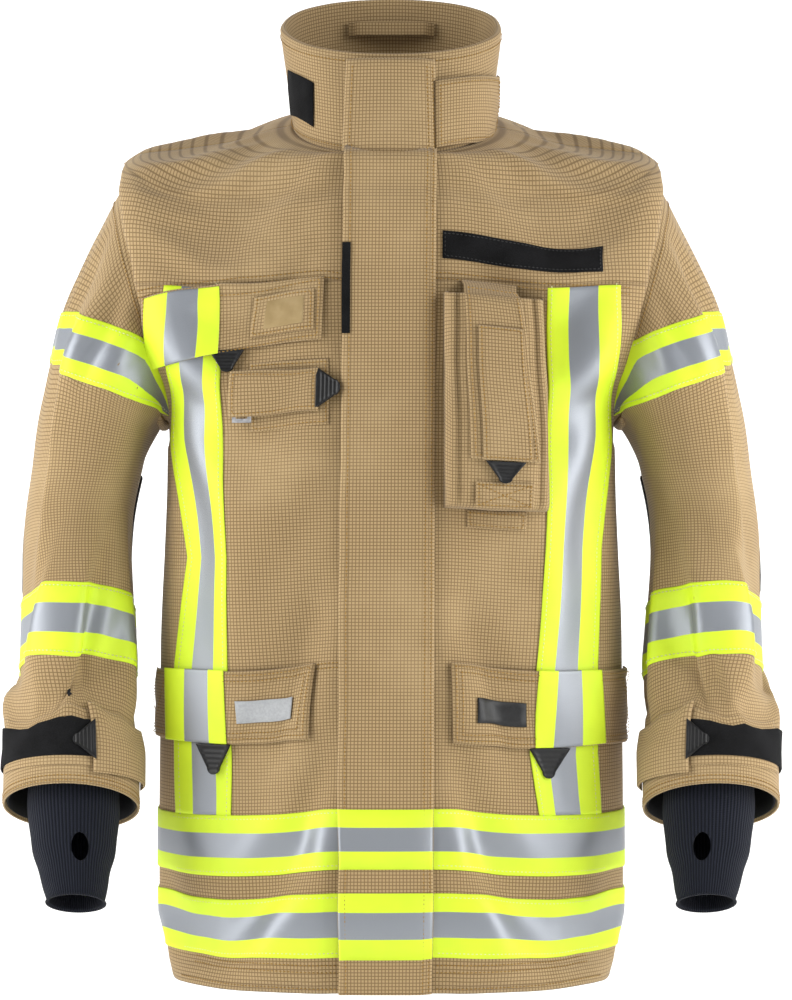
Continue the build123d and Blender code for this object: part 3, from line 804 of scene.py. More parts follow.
def collar_mesh():
    thick = 6.0
    rows = len(collar.grid)
    turns = np.linspace(0, 1, 145)[:-1]
    loop = []
    for v in range(rows):
        loop.append((v, 0.0, 0.0))
    for angle in np.linspace(0, np.pi, 7)[1:-1]:
        loop.append((rows - 1, -thick / 2 * (1 - np.cos(angle)), 3.2 * np.sin(angle)))
    for v in range(rows - 1, -1, -1):
        loop.append((v, -thick, 0.0))
    grid = []
    for v, lift, rise in loop:
        points = collar.at(turns, np.full_like(turns, float(v)), np.full_like(turns, lift))
        points = points + np.array([0, 0, rise])
        ripple = 0.7 * np.sin(turns * 2 * np.pi * 9 + v * 0.2) * smooth(v / rows)
        facing = collar.lookup(collar.normal, turns, np.full_like(turns, float(v)))
        grid.append(points + facing * ripple[:, None])
    grid = np.array(grid)
    count, columns = grid.shape[:2]
    uv = grid_map(grid).reshape(-1, 2)
    faces = [(i * columns + j, i * columns + (j + 1) % columns,
              ((i + 1) % count) * columns + (j + 1) % columns, ((i + 1) % count) * columns + j)
             for i in range(count) for j in range(columns)]
    return mesh_object("standing_collar", grid.reshape(-1, 3), faces, uv, SHELL)


standing_collar = collar_mesh()
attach(standing_collar, "coat")
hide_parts("collar")

# %% [markdown]
# ## Sleeves
# Each sleeve is one tube with a black lining that shows inside the cuff. Where it is sewn to the coat
# it must not tear when the sleeve swings; a span from the armhole along the arm is worked out for that, and
# the cloth is left in place, not attached to the coat or the sleeve.

# %% Sleeve cloth


def sleeve_blend(side):
    word = "right" if side < 0 else "left"
    start = to_frame(ARM_CENTRE * [side, 1, 1] + ARM_AXIS * [side, 1, 1] * 2)
    end = to_frame(ARM_CENTRE * [side, 1, 1] + ARM_AXIS * [side, 1, 1] * 74)
    return ("coat", word + "_sleeve", tuple(start), tuple(end))


def sleeve_band(side, v, turns, lift, thick):
    """Arrays of a strip round a sleeve between two rows."""
    surface = sleeves[side]
    u, vv = np.meshgrid(turns, v)
    outer = surface.at(u, vv, np.full_like(u, lift + thick))
    inner = surface.at(u, vv, np.full_like(u, lift))
    return outer, inner


for side, word in ((-1, "right"), (1, "left")):
    surface = sleeves[side]
    rows, columns = surface.grid.shape[:2]
    turns = np.arange(columns) / columns
    outer, inner = sleeve_band(side, np.arange(rows), turns, -2.0, 2.0)
    uv = grid_map(outer)
    cloth_piece(word + "_arm", [sheet_arrays(outer, inner, uv, wrap=True)], SHELL, None,
                [word + "_sleeve"], blend=sleeve_blend(side))
    low = rows * 0.35
    outer, inner = sleeve_band(side, np.linspace(low, rows - 1.3, 40), turns, -5.5, 1.6)
    cloth_piece(word + "_arm_lining", [sheet_arrays(outer, inner, grid_map(outer), wrap=True)], LINING,
                word + "_sleeve", [word + "_sleeve_liner"])
print("sleeves made")

# %% [markdown]
# ## Finding places on the front
# Pockets, tape and tabs are set out on the front by their distance from the middle and their height.
# `on_front` turns those into points of the hung cloth, round the side seam where a piece is wide enough.

# %% Places on the front


def front_turns(x, z):
    """Turn and row for points at x and z below the yoke; x past the side goes on round it."""
    x, z = np.broadcast_arrays(np.asarray(x, float), np.asarray(z, float))
    shape = x.shape
    x, z = x.reshape(-1), z.reshape(-1)
    v = body.level(z)
    u = np.zeros_like(x)
    half_turn = np.linspace(0.5, 1.0, 73)
    for k in range(len(x)):
        ring = body.at(half_turn, np.full(73, v[k]), rest=True)[:, 0]
        if abs(x[k]) <= ring[-1]:
            u[k] = np.interp(x[k], ring, half_turn)
        else:
            extra = (abs(x[k]) - ring[-1]) * 0.00085
            u[k] = 1.0 + extra if x[k] > 0 else 0.5 - extra
    return u.reshape(shape), v.reshape(shape)


def on_front(x, z, lift):
    """Points of the front at x and z, on the coat or on its collar, lifted off the cloth."""
    x, z, lift = np.broadcast_arrays(np.asarray(x, float), np.asarray(z, float), np.asarray(lift, float))
    out = np.zeros(x.shape + (3,))
    low = z <= 714
    high = z > 846
    between = ~low & ~high
    if low.any():
        u, v = front_turns(x[low], z[low])
        out[low] = body.at(u, v, lift[low])
    if between.any():
        u, v = body.seen_at(x[between], z[between])
        out[between] = body.at(u, v, lift[between])
    if high.any():
        u, v = collar.seen_at(np.clip(x[high], -106, 106), z[high])
        out[high] = collar.at(u, v, lift[high])
    return out


def patch_arrays(corners, lift, thick, columns, rows, tape=False):
    """A sewn patch between four corners, x and z: top left, top right, bottom right, bottom left."""
    (ax, az), (bx, bz), (cx, cz), (dx, dz) = corners
    t, s = np.meshgrid(edged(columns), edged(rows))
    x = (1 - s) * ((1 - t) * ax + t * bx) + s * ((1 - t) * dx + t * cx)
    z = (1 - s) * ((1 - t) * az + t * bz) + s * ((1 - t) * dz + t * cz)
    rim = np.ones_like(x)
    rim[0], rim[-1], rim[:, 0], rim[:, -1] = 0.4, 0.4, 0.4, 0.4
    outer = on_front(x, z, lift + thick * rim)
    inner = on_front(x, z, np.full_like(x, lift))
    uv = grid_map(outer)
    if tape:
        uv = np.stack([uv[..., 1], t], -1)
    return sheet_arrays(outer, inner, uv)


def patch(name, corners, lift, thick, material, body_name, nodes, slot, columns=10, rows=8, **shape):
    return cloth_piece(name, [patch_arrays(corners, lift, thick, columns, rows, **shape)], material,
                       body_name, nodes)


# %% [markdown]
# ## Stitches
# A seam is only seen by its thread, so every stitch is real. Geometry Nodes lay them: a line is cut into
# equal steps, a short capsule is set on each step along the line, and the result becomes a plain mesh.

# %% Stitch tree and seams
STITCH_INPUTS = (("Pitch", 0.0042), ("Stitch length", 0.0030), ("Thread radius", 0.00055))
seams = {}


def stitch_tree():
    tree = bpy.data.node_groups.new("row_of_stitches", "GeometryNodeTree")
    tree.interface.new_socket("Geometry", in_out="INPUT", socket_type="NodeSocketGeometry")
    for label, value in STITCH_INPUTS:
        socket = tree.interface.new_socket(label, in_out="INPUT", socket_type="NodeSocketFloat")
        socket.default_value = value
    tree.interface.new_socket("Thread", in_out="INPUT", socket_type="NodeSocketMaterial")
    tree.interface.new_socket("Geometry", in_out="OUTPUT", socket_type="NodeSocketGeometry")
    add = tree.nodes.new
    link = tree.links.new
    entry, leave = add("NodeGroupInput"), add("NodeGroupOutput")
    to_curve = add("GeometryNodeMeshToCurve")
    steps = add("GeometryNodeResampleCurve")
    steps.mode = "LENGTH"
    capsule = add("GeometryNodeMeshIcoSphere")
    capsule.inputs["Subdivisions"].default_value = 1
    capsule.inputs["Radius"].default_value = 1.0
    size = add("ShaderNodeCombineXYZ")
    half = add("ShaderNodeMath")
    half.operation = "MULTIPLY"
    half.inputs[1].default_value = 0.5
    tangent = add("GeometryNodeInputTangent")
    turn = add("FunctionNodeAlignRotationToVector")
    turn.axis = "Z"
    place = add("GeometryNodeInstanceOnPoints")
    real = add("GeometryNodeRealizeInstances")
    paint = add("GeometryNodeSetMaterial")
    link(entry.outputs["Geometry"], to_curve.inputs[0])
    link(to_curve.outputs[0], steps.inputs["Curve"])
    link(entry.outputs["Pitch"], steps.inputs["Length"])
    link(entry.outputs["Stitch length"], half.inputs[0])
    link(entry.outputs["Thread radius"], size.inputs[0])
    link(entry.outputs["Thread radius"], size.inputs[1])
    link(half.outputs[0], size.inputs[2])
    link(tangent.outputs[0], turn.inputs["Vector"])
    link(steps.outputs[0], place.inputs["Points"])
    link(capsule.outputs["Mesh"], place.inputs["Instance"])
    link(turn.outputs[0], place.inputs["Rotation"])
    link(size.outputs[0], place.inputs["Scale"])
    link(place.outputs[0], real.inputs[0])
    link(real.outputs[0], paint.inputs["Geometry"])
    link(entry.outputs["Thread"], paint.inputs["Material"])
    link(paint.outputs[0], leave.inputs[0])
    return tree


STITCHES = stitch_tree()


def seam(points, where="coat", thread="gold"):
    """Remember a line of stitches through garment points."""
    seams.setdefault((where, thread), []).append(np.asarray(points, float))


def front_seam(corner_points, lift=0.6, where="coat", thread="gold", step=4.0):
    """A line of stitches on the front through points given by x and z."""
    xz = []
    for (x0, z0), (x1, z1) in zip(corner_points, corner_points[1:]):
        count = max(2, int(math.hypot(x1 - x0, z1 - z0) / step))
        for t in np.arange(count) / count:
            xz.append((x0 + (x1 - x0) * t, z0 + (z1 - z0) * t))
    xz.append(corner_points[-1])
    xz = np.array(xz)
    seam(on_front(xz[:, 0], xz[:, 1], np.full(len(xz), lift)), where, thread)


def sew(threads, blends):
    """Make one mesh of stitches for each body and thread."""
    total = 0
    for (where, thread), lines in seams.items():
        verts = np.concatenate(lines)
        edges, start = [], 0
        for line in lines:
            edges += [(start + k, start + k + 1) for k in range(len(line) - 1)]
            start += len(line)
        mesh = bpy.data.meshes.new("seam_line")
        mesh.from_pydata(to_frame(verts).tolist(), edges, [])
        line_object = bpy.data.objects.new("seam_line", mesh)
        bpy.context.scene.collection.objects.link(line_object)
        nodes = line_object.modifiers.new("stitches", "NODES")
        nodes.node_group = STITCHES
        for item in STITCHES.interface.items_tree:
            if item.in_out == "INPUT" and item.name == "Thread":
                nodes[item.identifier] = threads[thread]
            elif item.in_out == "INPUT" and item.name in dict(STITCH_INPUTS):
                nodes[item.identifier] = dict(STITCH_INPUTS)[item.name]
        evaluated = line_object.evaluated_get(bpy.context.evaluated_depsgraph_get())
        sewn = bpy.data.meshes.new_from_object(evaluated)
        bpy.data.objects.remove(line_object, do_unlink=True)
        piece = bpy.data.objects.new("stitches_" + where + "_" + thread, sewn)
        bpy.context.scene.collection.objects.link(piece)
        sewn.polygons.foreach_set("use_smooth", [True] * len(sewn.polygons))
        if where in blends:
            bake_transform(piece)
        else:
            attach(piece, where)
        total += len(sewn.polygons)
    print("stitch faces", total)

# %% [markdown]
# ## The storm flap
# A doubled strip of shell cloth covers the zip from the hem to the rim of the collar. It is sewn down on
# the wearer's left and closes with hook tape behind its free edge, so it turns about that seam.

# %% Storm flap
FLAP_STANDOFF = 5.0


def hinge(joint):
    """A joint's place, in frame metres."""
    found = [item for item in frame["record"]["behaviour"]["joints"] if item["name"] == joint][0]
    return np.array(found["pos_m"], float)


def hinge_blend(joint, child, away, reach, parent="coat"):
    """The span of cloth at a hinge, from just behind the seam to a short reach past it, with the parent's and
    the child's names.
    """
    place = hinge(joint)
    away = np.array(away, float)
    return (parent, child, tuple(place - away * 0.001), tuple(place + away * reach / 1000))


def flap_edges(z):
    left = np.interp(z, [0, 179, 721, 836, 948], [-52, -52, -49, -47, -44])
    right = np.interp(z, [0, 839, 948], [40.5, 46, 44])
    return left, right


def flap_arrays(low, high, lift, thick, left_share=0.0, right_share=1.0, tape=False, rows=60):
    z = low + (high - low) * edged(rows, 0.002)
    share = left_share + (right_share - left_share) * edged(9, 0.03)
    left, right = flap_edges(z)
    x = left[:, None] + (right - left)[:, None] * share
    zz = z[:, None] * np.ones(len(share))
    settle = FLAP_STANDOFF * smooth((1.02 - (x - left[:, None]) / (right - left)[:, None]) / 0.16)
    wave = 1.2 * np.sin(zz / 61.0) * smooth(((right[:, None] - x) / 60))
    stand = 1.0 + settle + wave
    rim = np.ones_like(x)
    rim[0], rim[-1], rim[:, 0] = 0.3, 0.3, 0.3
    outer = on_front(x, zz, stand + lift + thick * rim)
    inner = on_front(x, zz, stand + lift)
    uv = grid_map(outer)
    uv[..., 0] += 0.011
    if tape:
        uv[..., 1] = ((z - low) / (high - low))[:, None]
    return sheet_arrays(outer, inner, uv)


storm_turn = hinge_blend("storm_flap_hinge", "storm_flap", (-1, 0, 0), 9)
cloth_piece("storm_flap_cloth", [flap_arrays(0, 949, 0, 2.6, rows=110)], SHELL, None, ["storm_flap"],
            blend=storm_turn)
HEM_TAPES = ((36, 94), (117, 178))
cloth_piece("storm_flap_tape", [flap_arrays(z0, z1, 2.7, 0.9, 0.004, 0.995, tape=True, rows=5)
                                for z0, z1 in HEM_TAPES], TAPE, None, ["storm_flap_bands"],
            blend=storm_turn)
cloth_piece("storm_flap_hook", [flap_arrays(60, 830, -0.9, 0.8, 0.06, 0.33)], LOOP_PILE, None,
            ["storm_flap_hook_strip"], blend=storm_turn)
cloth_piece("edge_grip", [flap_arrays(662, 752, 2.4, 1.4, -0.004, 0.085, rows=8)], LOOP_PILE, None,
            ["storm_flap_edge_grip"], blend=storm_turn)


def flap_seam(inset_left, inset_right, low, high, where="storm_flap"):
    """A stitched line down the storm flap, by its distance from one edge."""
    z = np.arange(low, high, 4.0)
    left, right = flap_edges(z)
    x = left + inset_left if inset_left is not None else right - inset_right
    share = (x - left) / (right - left)
    stand = 1.0 + FLAP_STANDOFF * smooth((1.02 - share) / 0.16)
    stand = stand + 1.2 * np.sin(z / 61.0) * smooth((right - x) / 60)
    seam(on_front(x, z, stand + 2.75), where)


flap_seam(7, None, 8, 944)
flap_seam(None, 3.5, 8, 944)
flap_seam(None, 9.5, 8, 944)

# %% [markdown]
# ## Tape on the coat
# Two bands go right round the hem and a stripe runs down each side of the chest. The stripes stop at the
# upper hem band. Each band is one strip whose outer face stands just under 2 mm off the cloth and dips
# at its edges, so that they catch the light.

# %% Hem bands and chest stripes
TAPE_THICK = 0.9


def hem_band_arrays(z0, z1):
    """A band round the body from one side of the zip to the other."""
    v0, v1 = body.level(z0), body.level(z1)
    start, stop = -0.25 + ZIP_TURN, 0.75 - ZIP_TURN
    turns = np.linspace(start, stop, 290)
    u, share = np.meshgrid(turns, edged(10, 0.02))
    v = v0 + (v1 - v0) * share
    rim = np.ones_like(u)
    rim[0], rim[-1] = 0.3, 0.3
    outer = body.at(u, v, 1.0 + TAPE_THICK * rim)
    inner = body.at(u, v, np.full_like(u, 0.3))
    uv = grid_map(outer)
    uv[..., 1] = share
    return sheet_arrays(outer, inner, uv)


STRIPES = {
    -1: [(-226, 700), (-172, 718), (-168, 560), (-164, 440), (-167, 330), (-168, 240), (-170, 178),
         (-214, 178), (-214, 250), (-214, 330), (-206, 440), (-222, 560)],
    1: [(158, 715), (228, 715), (222, 560), (211, 450), (206, 330), (206, 240), (210, 178),
        (158, 178), (148, 240), (150, 330), (154, 450), (156, 560)],
}


def stripe_arrays(side, lift=0.7):
    """A chest stripe whose two edges wander a little with the cloth."""
    outline = STRIPES[side]
    heights = np.linspace(178, 714, 140)
    first = sorted(outline[:1] + outline[7:], key=lambda p: p[1])
    second = sorted(outline[1:7], key=lambda p: p[1])
    low_edge = np.interp(heights, [p[1] for p in first], [p[0] for p in first])
    high_edge = np.interp(heights, [p[1] for p in second], [p[0] for p in second])
    t = edged(11, 0.02)
    x = low_edge[:, None] + (high_edge - low_edge)[:, None] * t
    z = heights[:, None] * np.ones(len(t))
    rim = np.ones_like(x)
    rim[:, 0], rim[:, -1] = 0.3, 0.3
    outer = on_front(x, z, lift + 0.2 + TAPE_THICK * rim)
    inner = on_front(x, z, np.full_like(x, lift))
    along = grid_map(outer)[..., 1]
    uv = np.stack([along, np.ones(len(heights))[:, None] * t], -1)
    return sheet_arrays(outer, inner, uv)


bands = [hem_band_arrays(*pair) for pair in HEM_TAPES] + [stripe_arrays(side) for side in (-1, 1)]
cloth_piece("hem_and_chest_tape", bands, TAPE, "coat", ["reflective_bands"])
print("tape laid")

# %% [markdown]
# ## Sleeve tape, elbow pads and cuffs
# The sleeve's bands cross it at a slant, higher on the outside, because they are level when the arm is
# held out. Their edges are written as a height on the outer side and a height on the inner side.

# %% Bands and pads on the sleeves


def sleeve_rows_at(side, outer_z, inner_z, front_rise=0.0):
    """For every turn, the row of the sleeve whose height follows a slanted line."""
    surface = sleeves[side]
    rows = len(surface.rest)
    turns = np.linspace(0, 1, 73)
    result = []
    front = FRONT_TURN[side]
    for turn in turns:
        outward = 0.5 + 0.5 * math.cos(2 * math.pi * turn)
        forward = math.cos(2 * math.pi * (turn - front))
        height = inner_z + (outer_z - inner_z) * outward + front_rise * forward
        column = surface.at(np.full(rows, turn), np.arange(rows), rest=True)[:, 2]
        result.append(np.interp(-height, -column, np.arange(rows)))
    return turns, np.array(result)


def sleeve_ring(side, top, bottom, lift, thick):
    """A band right round a sleeve between two slanted lines."""
    turns, v_top = sleeve_rows_at(side, *top)
    v_bottom = sleeve_rows_at(side, *bottom)[1]
    share = edged(7, 0.02)
    v = v_top[:, None] + (v_bottom - v_top)[:, None] * share
    u = turns[:, None] * np.ones(len(share))
    rim = np.ones_like(u)
    rim[:, 0], rim[:, -1] = 0.3, 0.3
    outer = sleeves[side].at(u[:-1], v[:-1], (lift + thick * rim)[:-1])
    inner = sleeves[side].at(u[:-1], v[:-1], np.full_like(u, lift)[:-1])
    mapped = grid_map(outer)
    uv = np.stack([mapped[..., 1], np.ones(len(outer))[:, None] * share], -1)
    outer, inner, uv = (a.transpose(1, 0, 2) for a in (outer, inner, uv))
    return sheet_arrays(outer, inner, uv, wrap=True)


def sleeve_patch(side, turn_low, turn_high, top, bottom, lift, thick, columns=16):
    """A patch on a sleeve between two turns, counted from the outer side towards the front."""
    turns, v_top = sleeve_rows_at(side, *top)
    v_bottom = sleeve_rows_at(side, *bottom)[1]
    way = 1 if FRONT_TURN[side] < 0.5 else -1
    share = edged(9, 0.03)
    place = way * (turn_low + (turn_high - turn_low) * edged(columns, 0.03))
    low = np.interp(place % 1.0, turns, v_top)
    high = np.interp(place % 1.0, turns, v_bottom)
    u = place[None, :] * np.ones((len(share), 1))
    v = low[None, :] + (high - low)[None, :] * share[:, None]
    rim = np.ones_like(u)
    rim[0], rim[-1], rim[:, 0], rim[:, -1] = 0.35, 0.35, 0.35, 0.35
    outer = sleeves[side].at(u, v, lift + thick * rim)
    inner = sleeves[side].at(u, v, np.full_like(u, lift))
    return sheet_arrays(outer, inner, grid_map(outer))


for side, word in ((-1, "right"), (1, "left")):
    cloth_piece(word + "_arm_tape", [sleeve_ring(side, (707, 646), (656, 590), 0.4, TAPE_THICK),
                                     sleeve_ring(side, (398, 386, 22), (328, 318, 20), 0.4, TAPE_THICK)],
                TAPE, None, [word + "_sleeve_bands"], blend=sleeve_blend(side))
    guard = sleeve_patch(side, -0.46, -0.015, (548, 520), (408, 420), 0.6, 3.0)
    pad = joined(word + "_elbow_guard", [guard], PAD_CLOTH)
    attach(pad, word + "_sleeve")
    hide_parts(word + "_elbow_pad")

# %% Cuff strips, straps and pull tabs


def pull_tab(name, centre, across, down, width, drop, body_name, nodes, tip=7.0, thick=3.2):
    """A moulded tab that narrows to a round tip, with a raised rim and cross ribs."""
    centre, across, down = (np.asarray(v, float) for v in (centre, across, down))
    across /= np.linalg.norm(across)
    down = down - across * (down @ across)
    down /= np.linalg.norm(down)
    out = np.cross(across, down)
    out = out if out[1] < 0 or abs(out[1]) < 0.2 else -out
    t = np.concatenate([np.linspace(0, 0.78, 22), 0.78 + 0.22 * np.sin(np.linspace(0, np.pi / 2, 9)[1:])])
    straight = width / 2 + (tip - width / 2) * np.minimum(t / 0.78, 1.0)
    rounding = np.sqrt(np.clip(1 - (np.maximum(t - 0.78, 0) / 0.22) ** 2, 0.003, 1))
    half = straight * rounding
    s = np.concatenate([[-1, -0.94], np.linspace(-0.82, 0.82, 13), [0.94, 1]])
    x = half[:, None] * s
    y = (t * drop)[:, None] * np.ones(len(s))
    rim = smooth((np.abs(s) - 0.74) / 0.14)[None, :] * np.ones((len(t), 1))
    rim = np.maximum(rim, smooth((t - 0.84) / 0.08)[:, None])
    rim = np.maximum(rim, smooth((0.10 - t) / 0.05)[:, None])
    ribs = 0.5 - 0.5 * np.cos(2 * np.pi * t * 6)[:, None] * np.ones((1, len(s)))
    height = thick * (0.62 + 0.38 * rim + 0.22 * ribs * (1 - rim))
    height[:, 0] = height[:, -1] = thick * 0.4
    height[-1] = thick * 0.4
    flat = centre + x[..., None] * across + y[..., None] * down
    outer = flat + height[..., None] * out
    verts, faces, uv = sheet_arrays(outer, flat, grid_map(outer))
    piece = mesh_object(name, verts, faces, uv, RUBBER)
    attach(piece, body_name)
    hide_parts(*nodes)
    return piece


CUFF_TOP, CUFF_BOTTOM = (252, 252, 27), (221, 221, 23)
for side, word in ((-1, "right"), (1, "left")):
    base = sleeve_patch(side, 0.06, 0.32, (259, 259, 29), (214, 214, 21), 0.4, 0.9)
    cloth_piece(word + "_cuff_base", [base], SHELL, word + "_sleeve", [])
    strip = sleeve_patch(side, -0.10, 0.36, CUFF_TOP, CUFF_BOTTOM, 1.4, 1.8)
    cloth_piece(word + "_cuff_loop", [strip], LOOP_PILE, word + "_sleeve", [word + "_cuff_loop_strip"])
    place = hinge(word + "_cuff_strap_hinge")
    turn = (word + "_sleeve", word + "_cuff_strap", tuple(place + np.array([side * 0.001, 0.004, 0])),
            tuple(place + np.array([side * 0.006, -0.012, 0])))
    strap = sleeve_patch(side, 0.315, 0.56, (263, 263, 30), (208, 208, 20), 3.4, 2.6)
    cloth_piece(word + "_wrist_strap", [strap], SHELL, None, [word + "_cuff_strap"],
                blend=turn)
    turns, rows_at = sleeve_rows_at(side, 236, 236, 25)
    way = 1 if FRONT_TURN[side] < 0.5 else -1
    u_end = (way * 0.318) % 1.0
    v_end = float(np.interp(u_end, turns, rows_at))
    v_end = np.array([v_end])
    here = sleeves[side].at(np.array([u_end]), v_end, np.array([4.0]))[0]
    onward = sleeves[side].at(np.array([(way * 0.25) % 1.0]), v_end, np.array([4.0]))[0] - here
    downward = sleeves[side].at(np.array([u_end]), v_end + 1.5, np.array([4.0]))[0] - here
    pull_tab(word + "_wrist_pull", here - onward * 0.04, downward, onward, 43, 23, word + "_cuff_strap",
             [word + "_cuff_pull_tab"], tip=6)
print("cuffs made")

# %% [markdown]
# ## Under the storm flap
# Behind the flap lie the loop strip that holds its free edge, the tapes of the slide fastener and the
# facings inside the fronts. The teeth, the slider and the lamp ring are rigid, so the CAD solids serve.

# %% Zip, facings and loop strip
cloth_piece("facing_cloth", [patch_arrays([(a, 838), (b, 838), (b, 8), (a, 8)], -9.4, 1.2, 6, 60)
                             for a, b in ((-60, -13), (13, 60))], LINING, "coat", ["front_facings"])
cloth_piece("fastener_tapes", [patch_arrays([(a, 838), (b, 838), (b, 12), (a, 12)], -3.4, 0.9, 3, 60)
                               for a, b in ((-24, -3), (3, 24))], LINING, "coat", ["zip_tapes"])
patch("flap_landing", [(-42, 712), (-22, 712), (-22, 184), (-42, 184)], 0.3, 1.2, LOOP_PILE, "coat",
      ["front_loop_strip"], "hook_loop", columns=4, rows=40)
for node, finish in (("zip_teeth", BRASS), ("zip_slider", STEEL), ("lamp_ring", STEEL)):
    frame["nodes"][node].data.materials.clear()
    frame["nodes"][node].data.materials.append(finish)

# %% [markdown]
# ## Patches on the yoke and collar
# A black loop panel carries a name tape. The throat tab closes the collar across the storm flap and is
# hooked back on the wearer's left. A strap lies on each shoulder, and a hanger is sewn inside the collar.

# %% Yoke and collar trim
patch("name_pile", [(52, 763), (214, 755), (212, 727), (52, 737)], 0.8, 1.4, LOOP_PILE, "coat",
      ["name_loop_panel"], "hook_loop", columns=24, rows=6)
patch("collar_pile", [(-108, 949), (-79, 929), (-79, 884), (-104, 904)], 0.8, 1.3, LOOP_PILE, "coat",
      ["collar_loop_patch"], "hook_loop", columns=5, rows=6)
patch("throat_strap", [(43, 927), (115, 944), (110, 876), (43, 858)], 4.4, 3.0, SHELL, "throat_tab",
      ["throat_tab"], "shell_cloth", columns=14, rows=10)


def strap_arrays(middle_line, width_way, width, thick, rows=7):
    """A flat strap along a line of points, spread both ways across its width."""
    line = np.asarray(middle_line, float)
    across = np.asarray(width_way, float)
    share = np.linspace(-0.5, 0.5, rows)
    flat = line[None] + share[:, None, None] * width * across
    along = np.gradient(line, axis=0)
    out = np.cross(along, across)
    out /= np.linalg.norm(out, axis=1, keepdims=True)
    outer = flat + out[None] * thick / 2
    inner = flat - out[None] * thick / 2
    return sheet_arrays(outer, inner, grid_map(outer))


loops = []
for side in (-1, 1):
    t = np.linspace(0, 1, 20)
    line = np.stack([side * (202 + 68 * t), np.full(20, -8.0), 857 - 17 * t + 3.5 * np.sin(np.pi * t)], 1)
    loops.append(strap_arrays(line, (0, 0.86, 0.5), 30, 2.4))
cloth_piece("shoulder_straps", loops, SHELL, "coat", ["shoulder_loops"])
t = np.linspace(-1, 1, 40)
hanger = np.stack([46 * t, 40.2 + 6.0 * smooth((np.abs(t) - 0.78) / 0.12), 1011 + 0 * t], 1)
cloth_piece("hanger_strap", [strap_arrays(hanger, (0, 0, 1), 15, 1.8)], SHELL, "coat", ["hanger_loop"])

# %% [markdown]
# ## Pocket flaps
# The top and lower edges of each flap are short polylines, because the flaps follow the side of the coat.
# A flap's edge is thinner than its middle, as folded cloth is once it has been topstitched.

# %% Flaps, tape, badges and tabs


def flap_sheet(top, bottom, lift, thick, columns=44, rows=20, lift_top=None):
    """A flap between two polylines of x and z, from left to right."""
    top, bottom = np.array(top, float), np.array(bottom, float)
    t, s = np.meshgrid(edged(columns), edged(rows))
    top_x = top[0, 0] + (top[-1, 0] - top[0, 0]) * t
    low_x = bottom[0, 0] + (bottom[-1, 0] - bottom[0, 0]) * t
    top_z = np.interp(top_x, top[:, 0], top[:, 1])
    low_z = np.interp(low_x, bottom[:, 0], bottom[:, 1])
    x = top_x + (low_x - top_x) * s
    z = top_z + (low_z - top_z) * s
    rise = lift if lift_top is None else lift_top + (lift - lift_top) * smooth(s / 0.10)
    rim = np.ones_like(x)
    rim[0], rim[-1], rim[:, 0], rim[:, -1] = 0.35, 0.35, 0.35, 0.35
    outer = on_front(x, z, rise + thick * rim)
    inner = on_front(x, z, rise + 0 * x)
    return sheet_arrays(outer, inner, grid_map(outer))


def tab_on_front(name, x, z, lift, width, drop, body_name, node, way=(0, 0, -1), tip=7.0):
    here = on_front(np.array([x]), np.array([z]), np.array([lift]))[0]
    there = on_front(np.array([x + 4.0]), np.array([z]), np.array([lift]))[0]
    below = on_front(np.array([x]), np.array([z - 4.0]), np.array([lift]))[0]
    across, down = there - here, below - here
    if way[0]:
        across, down = down, across * way[0]
    return pull_tab(name, here, across, down, width, drop, body_name, [node], tip=tip)


cloth_piece("chest_flap", [flap_sheet([(-246, 703), (-171, 719), (-67, 719)],
                                      [(-242, 636), (-146, 653), (-70, 657)], 2.6, 2.8)], SHELL,
            "right_chest_flap", ["right_chest_flap"])
patch("chest_flap_tape", [(-241, 702), (-172, 716), (-173, 648), (-240, 637)], 6.2, TAPE_THICK, TAPE,
      "right_chest_flap", ["right_chest_flap_band"], "reflective_tape", columns=22, rows=20, tape=True)
patch("chest_window", [(-140, 705), (-76, 707), (-77, 666), (-142, 662)], 6.6, 0.9, SHELL, "right_chest_flap",
      ["chest_window_patch"], "shell_cloth", columns=8, rows=6)
patch("chest_film", [(-127, 699), (-86, 700), (-87, 673), (-128, 670)], 7.5, 0.4, VINYL, "right_chest_flap",
      [], "clear_vinyl", columns=6, rows=4)
tab_on_front("chest_tab", -165, 651, 3.4, 36, 22, "right_chest_flap", "right_chest_pull_tab")

HIPS = (
    ("right", -1, [(-228, 324), (-77, 328)], [(-237, 255), (-215, 253), (-170, 251), (-84, 252)],
     [(-218, 326), (-168, 327), (-170, 252), (-217, 253)], (-160, 296, -102, 273), (-182, 251, 40)),
    ("left", 1, [(59, 328), (232, 324)], [(62, 246), (144, 246), (209, 249), (239, 246)],
     [(151, 327), (206, 325), (209, 250), (151, 247)], (85, 293, 142, 268), (166, 247, 46)))
for word, side, top, bottom, tape_corners, badge, tab in HIPS:
    flap_name = word + "_hip_flap"
    cloth_piece(word + "_hip_cover", [flap_sheet(top, bottom, 3.0, 2.8)], SHELL, flap_name, [flap_name])
    patch(word + "_hip_tape", tape_corners, 6.6, TAPE_THICK, TAPE, flap_name, [flap_name + "_band"],
          "reflective_tape", columns=18, rows=20, tape=True)
    x0, z1, x1, z0 = badge
    plate = patch_arrays([(x0, z1), (x1, z1), (x1, z0), (x0, z0)], 7.2, 1.0, 8, 5)
    label = joined(word + "_hip_label", [plate],
                   RUBBER if word == "left" else SILICONE)
    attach(label, flap_name)
    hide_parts(word + "_hip_badge")
    tab_on_front(word + "_hip_tab", tab[0], tab[1], 3.4, tab[2], 31, flap_name, word + "_hip_pull_tab")
cloth_piece("bag_cloth", [patch_arrays([(a, 322), (b, 322), (b, 90), (a, 90)], -3.3, 0.9, 16, 24)
                          for a, b in ((-205, -90), (90, 205))], LINING, "coat", ["pocket_bags"])

# %% [markdown]
# ## The radio pocket and the lamp holder
# The radio pocket stands 25 mm off the chest on folded bellows, so its section is a path from the cloth,
# out round a pleat, across its front and back. Near its floor the path sinks to the cloth.

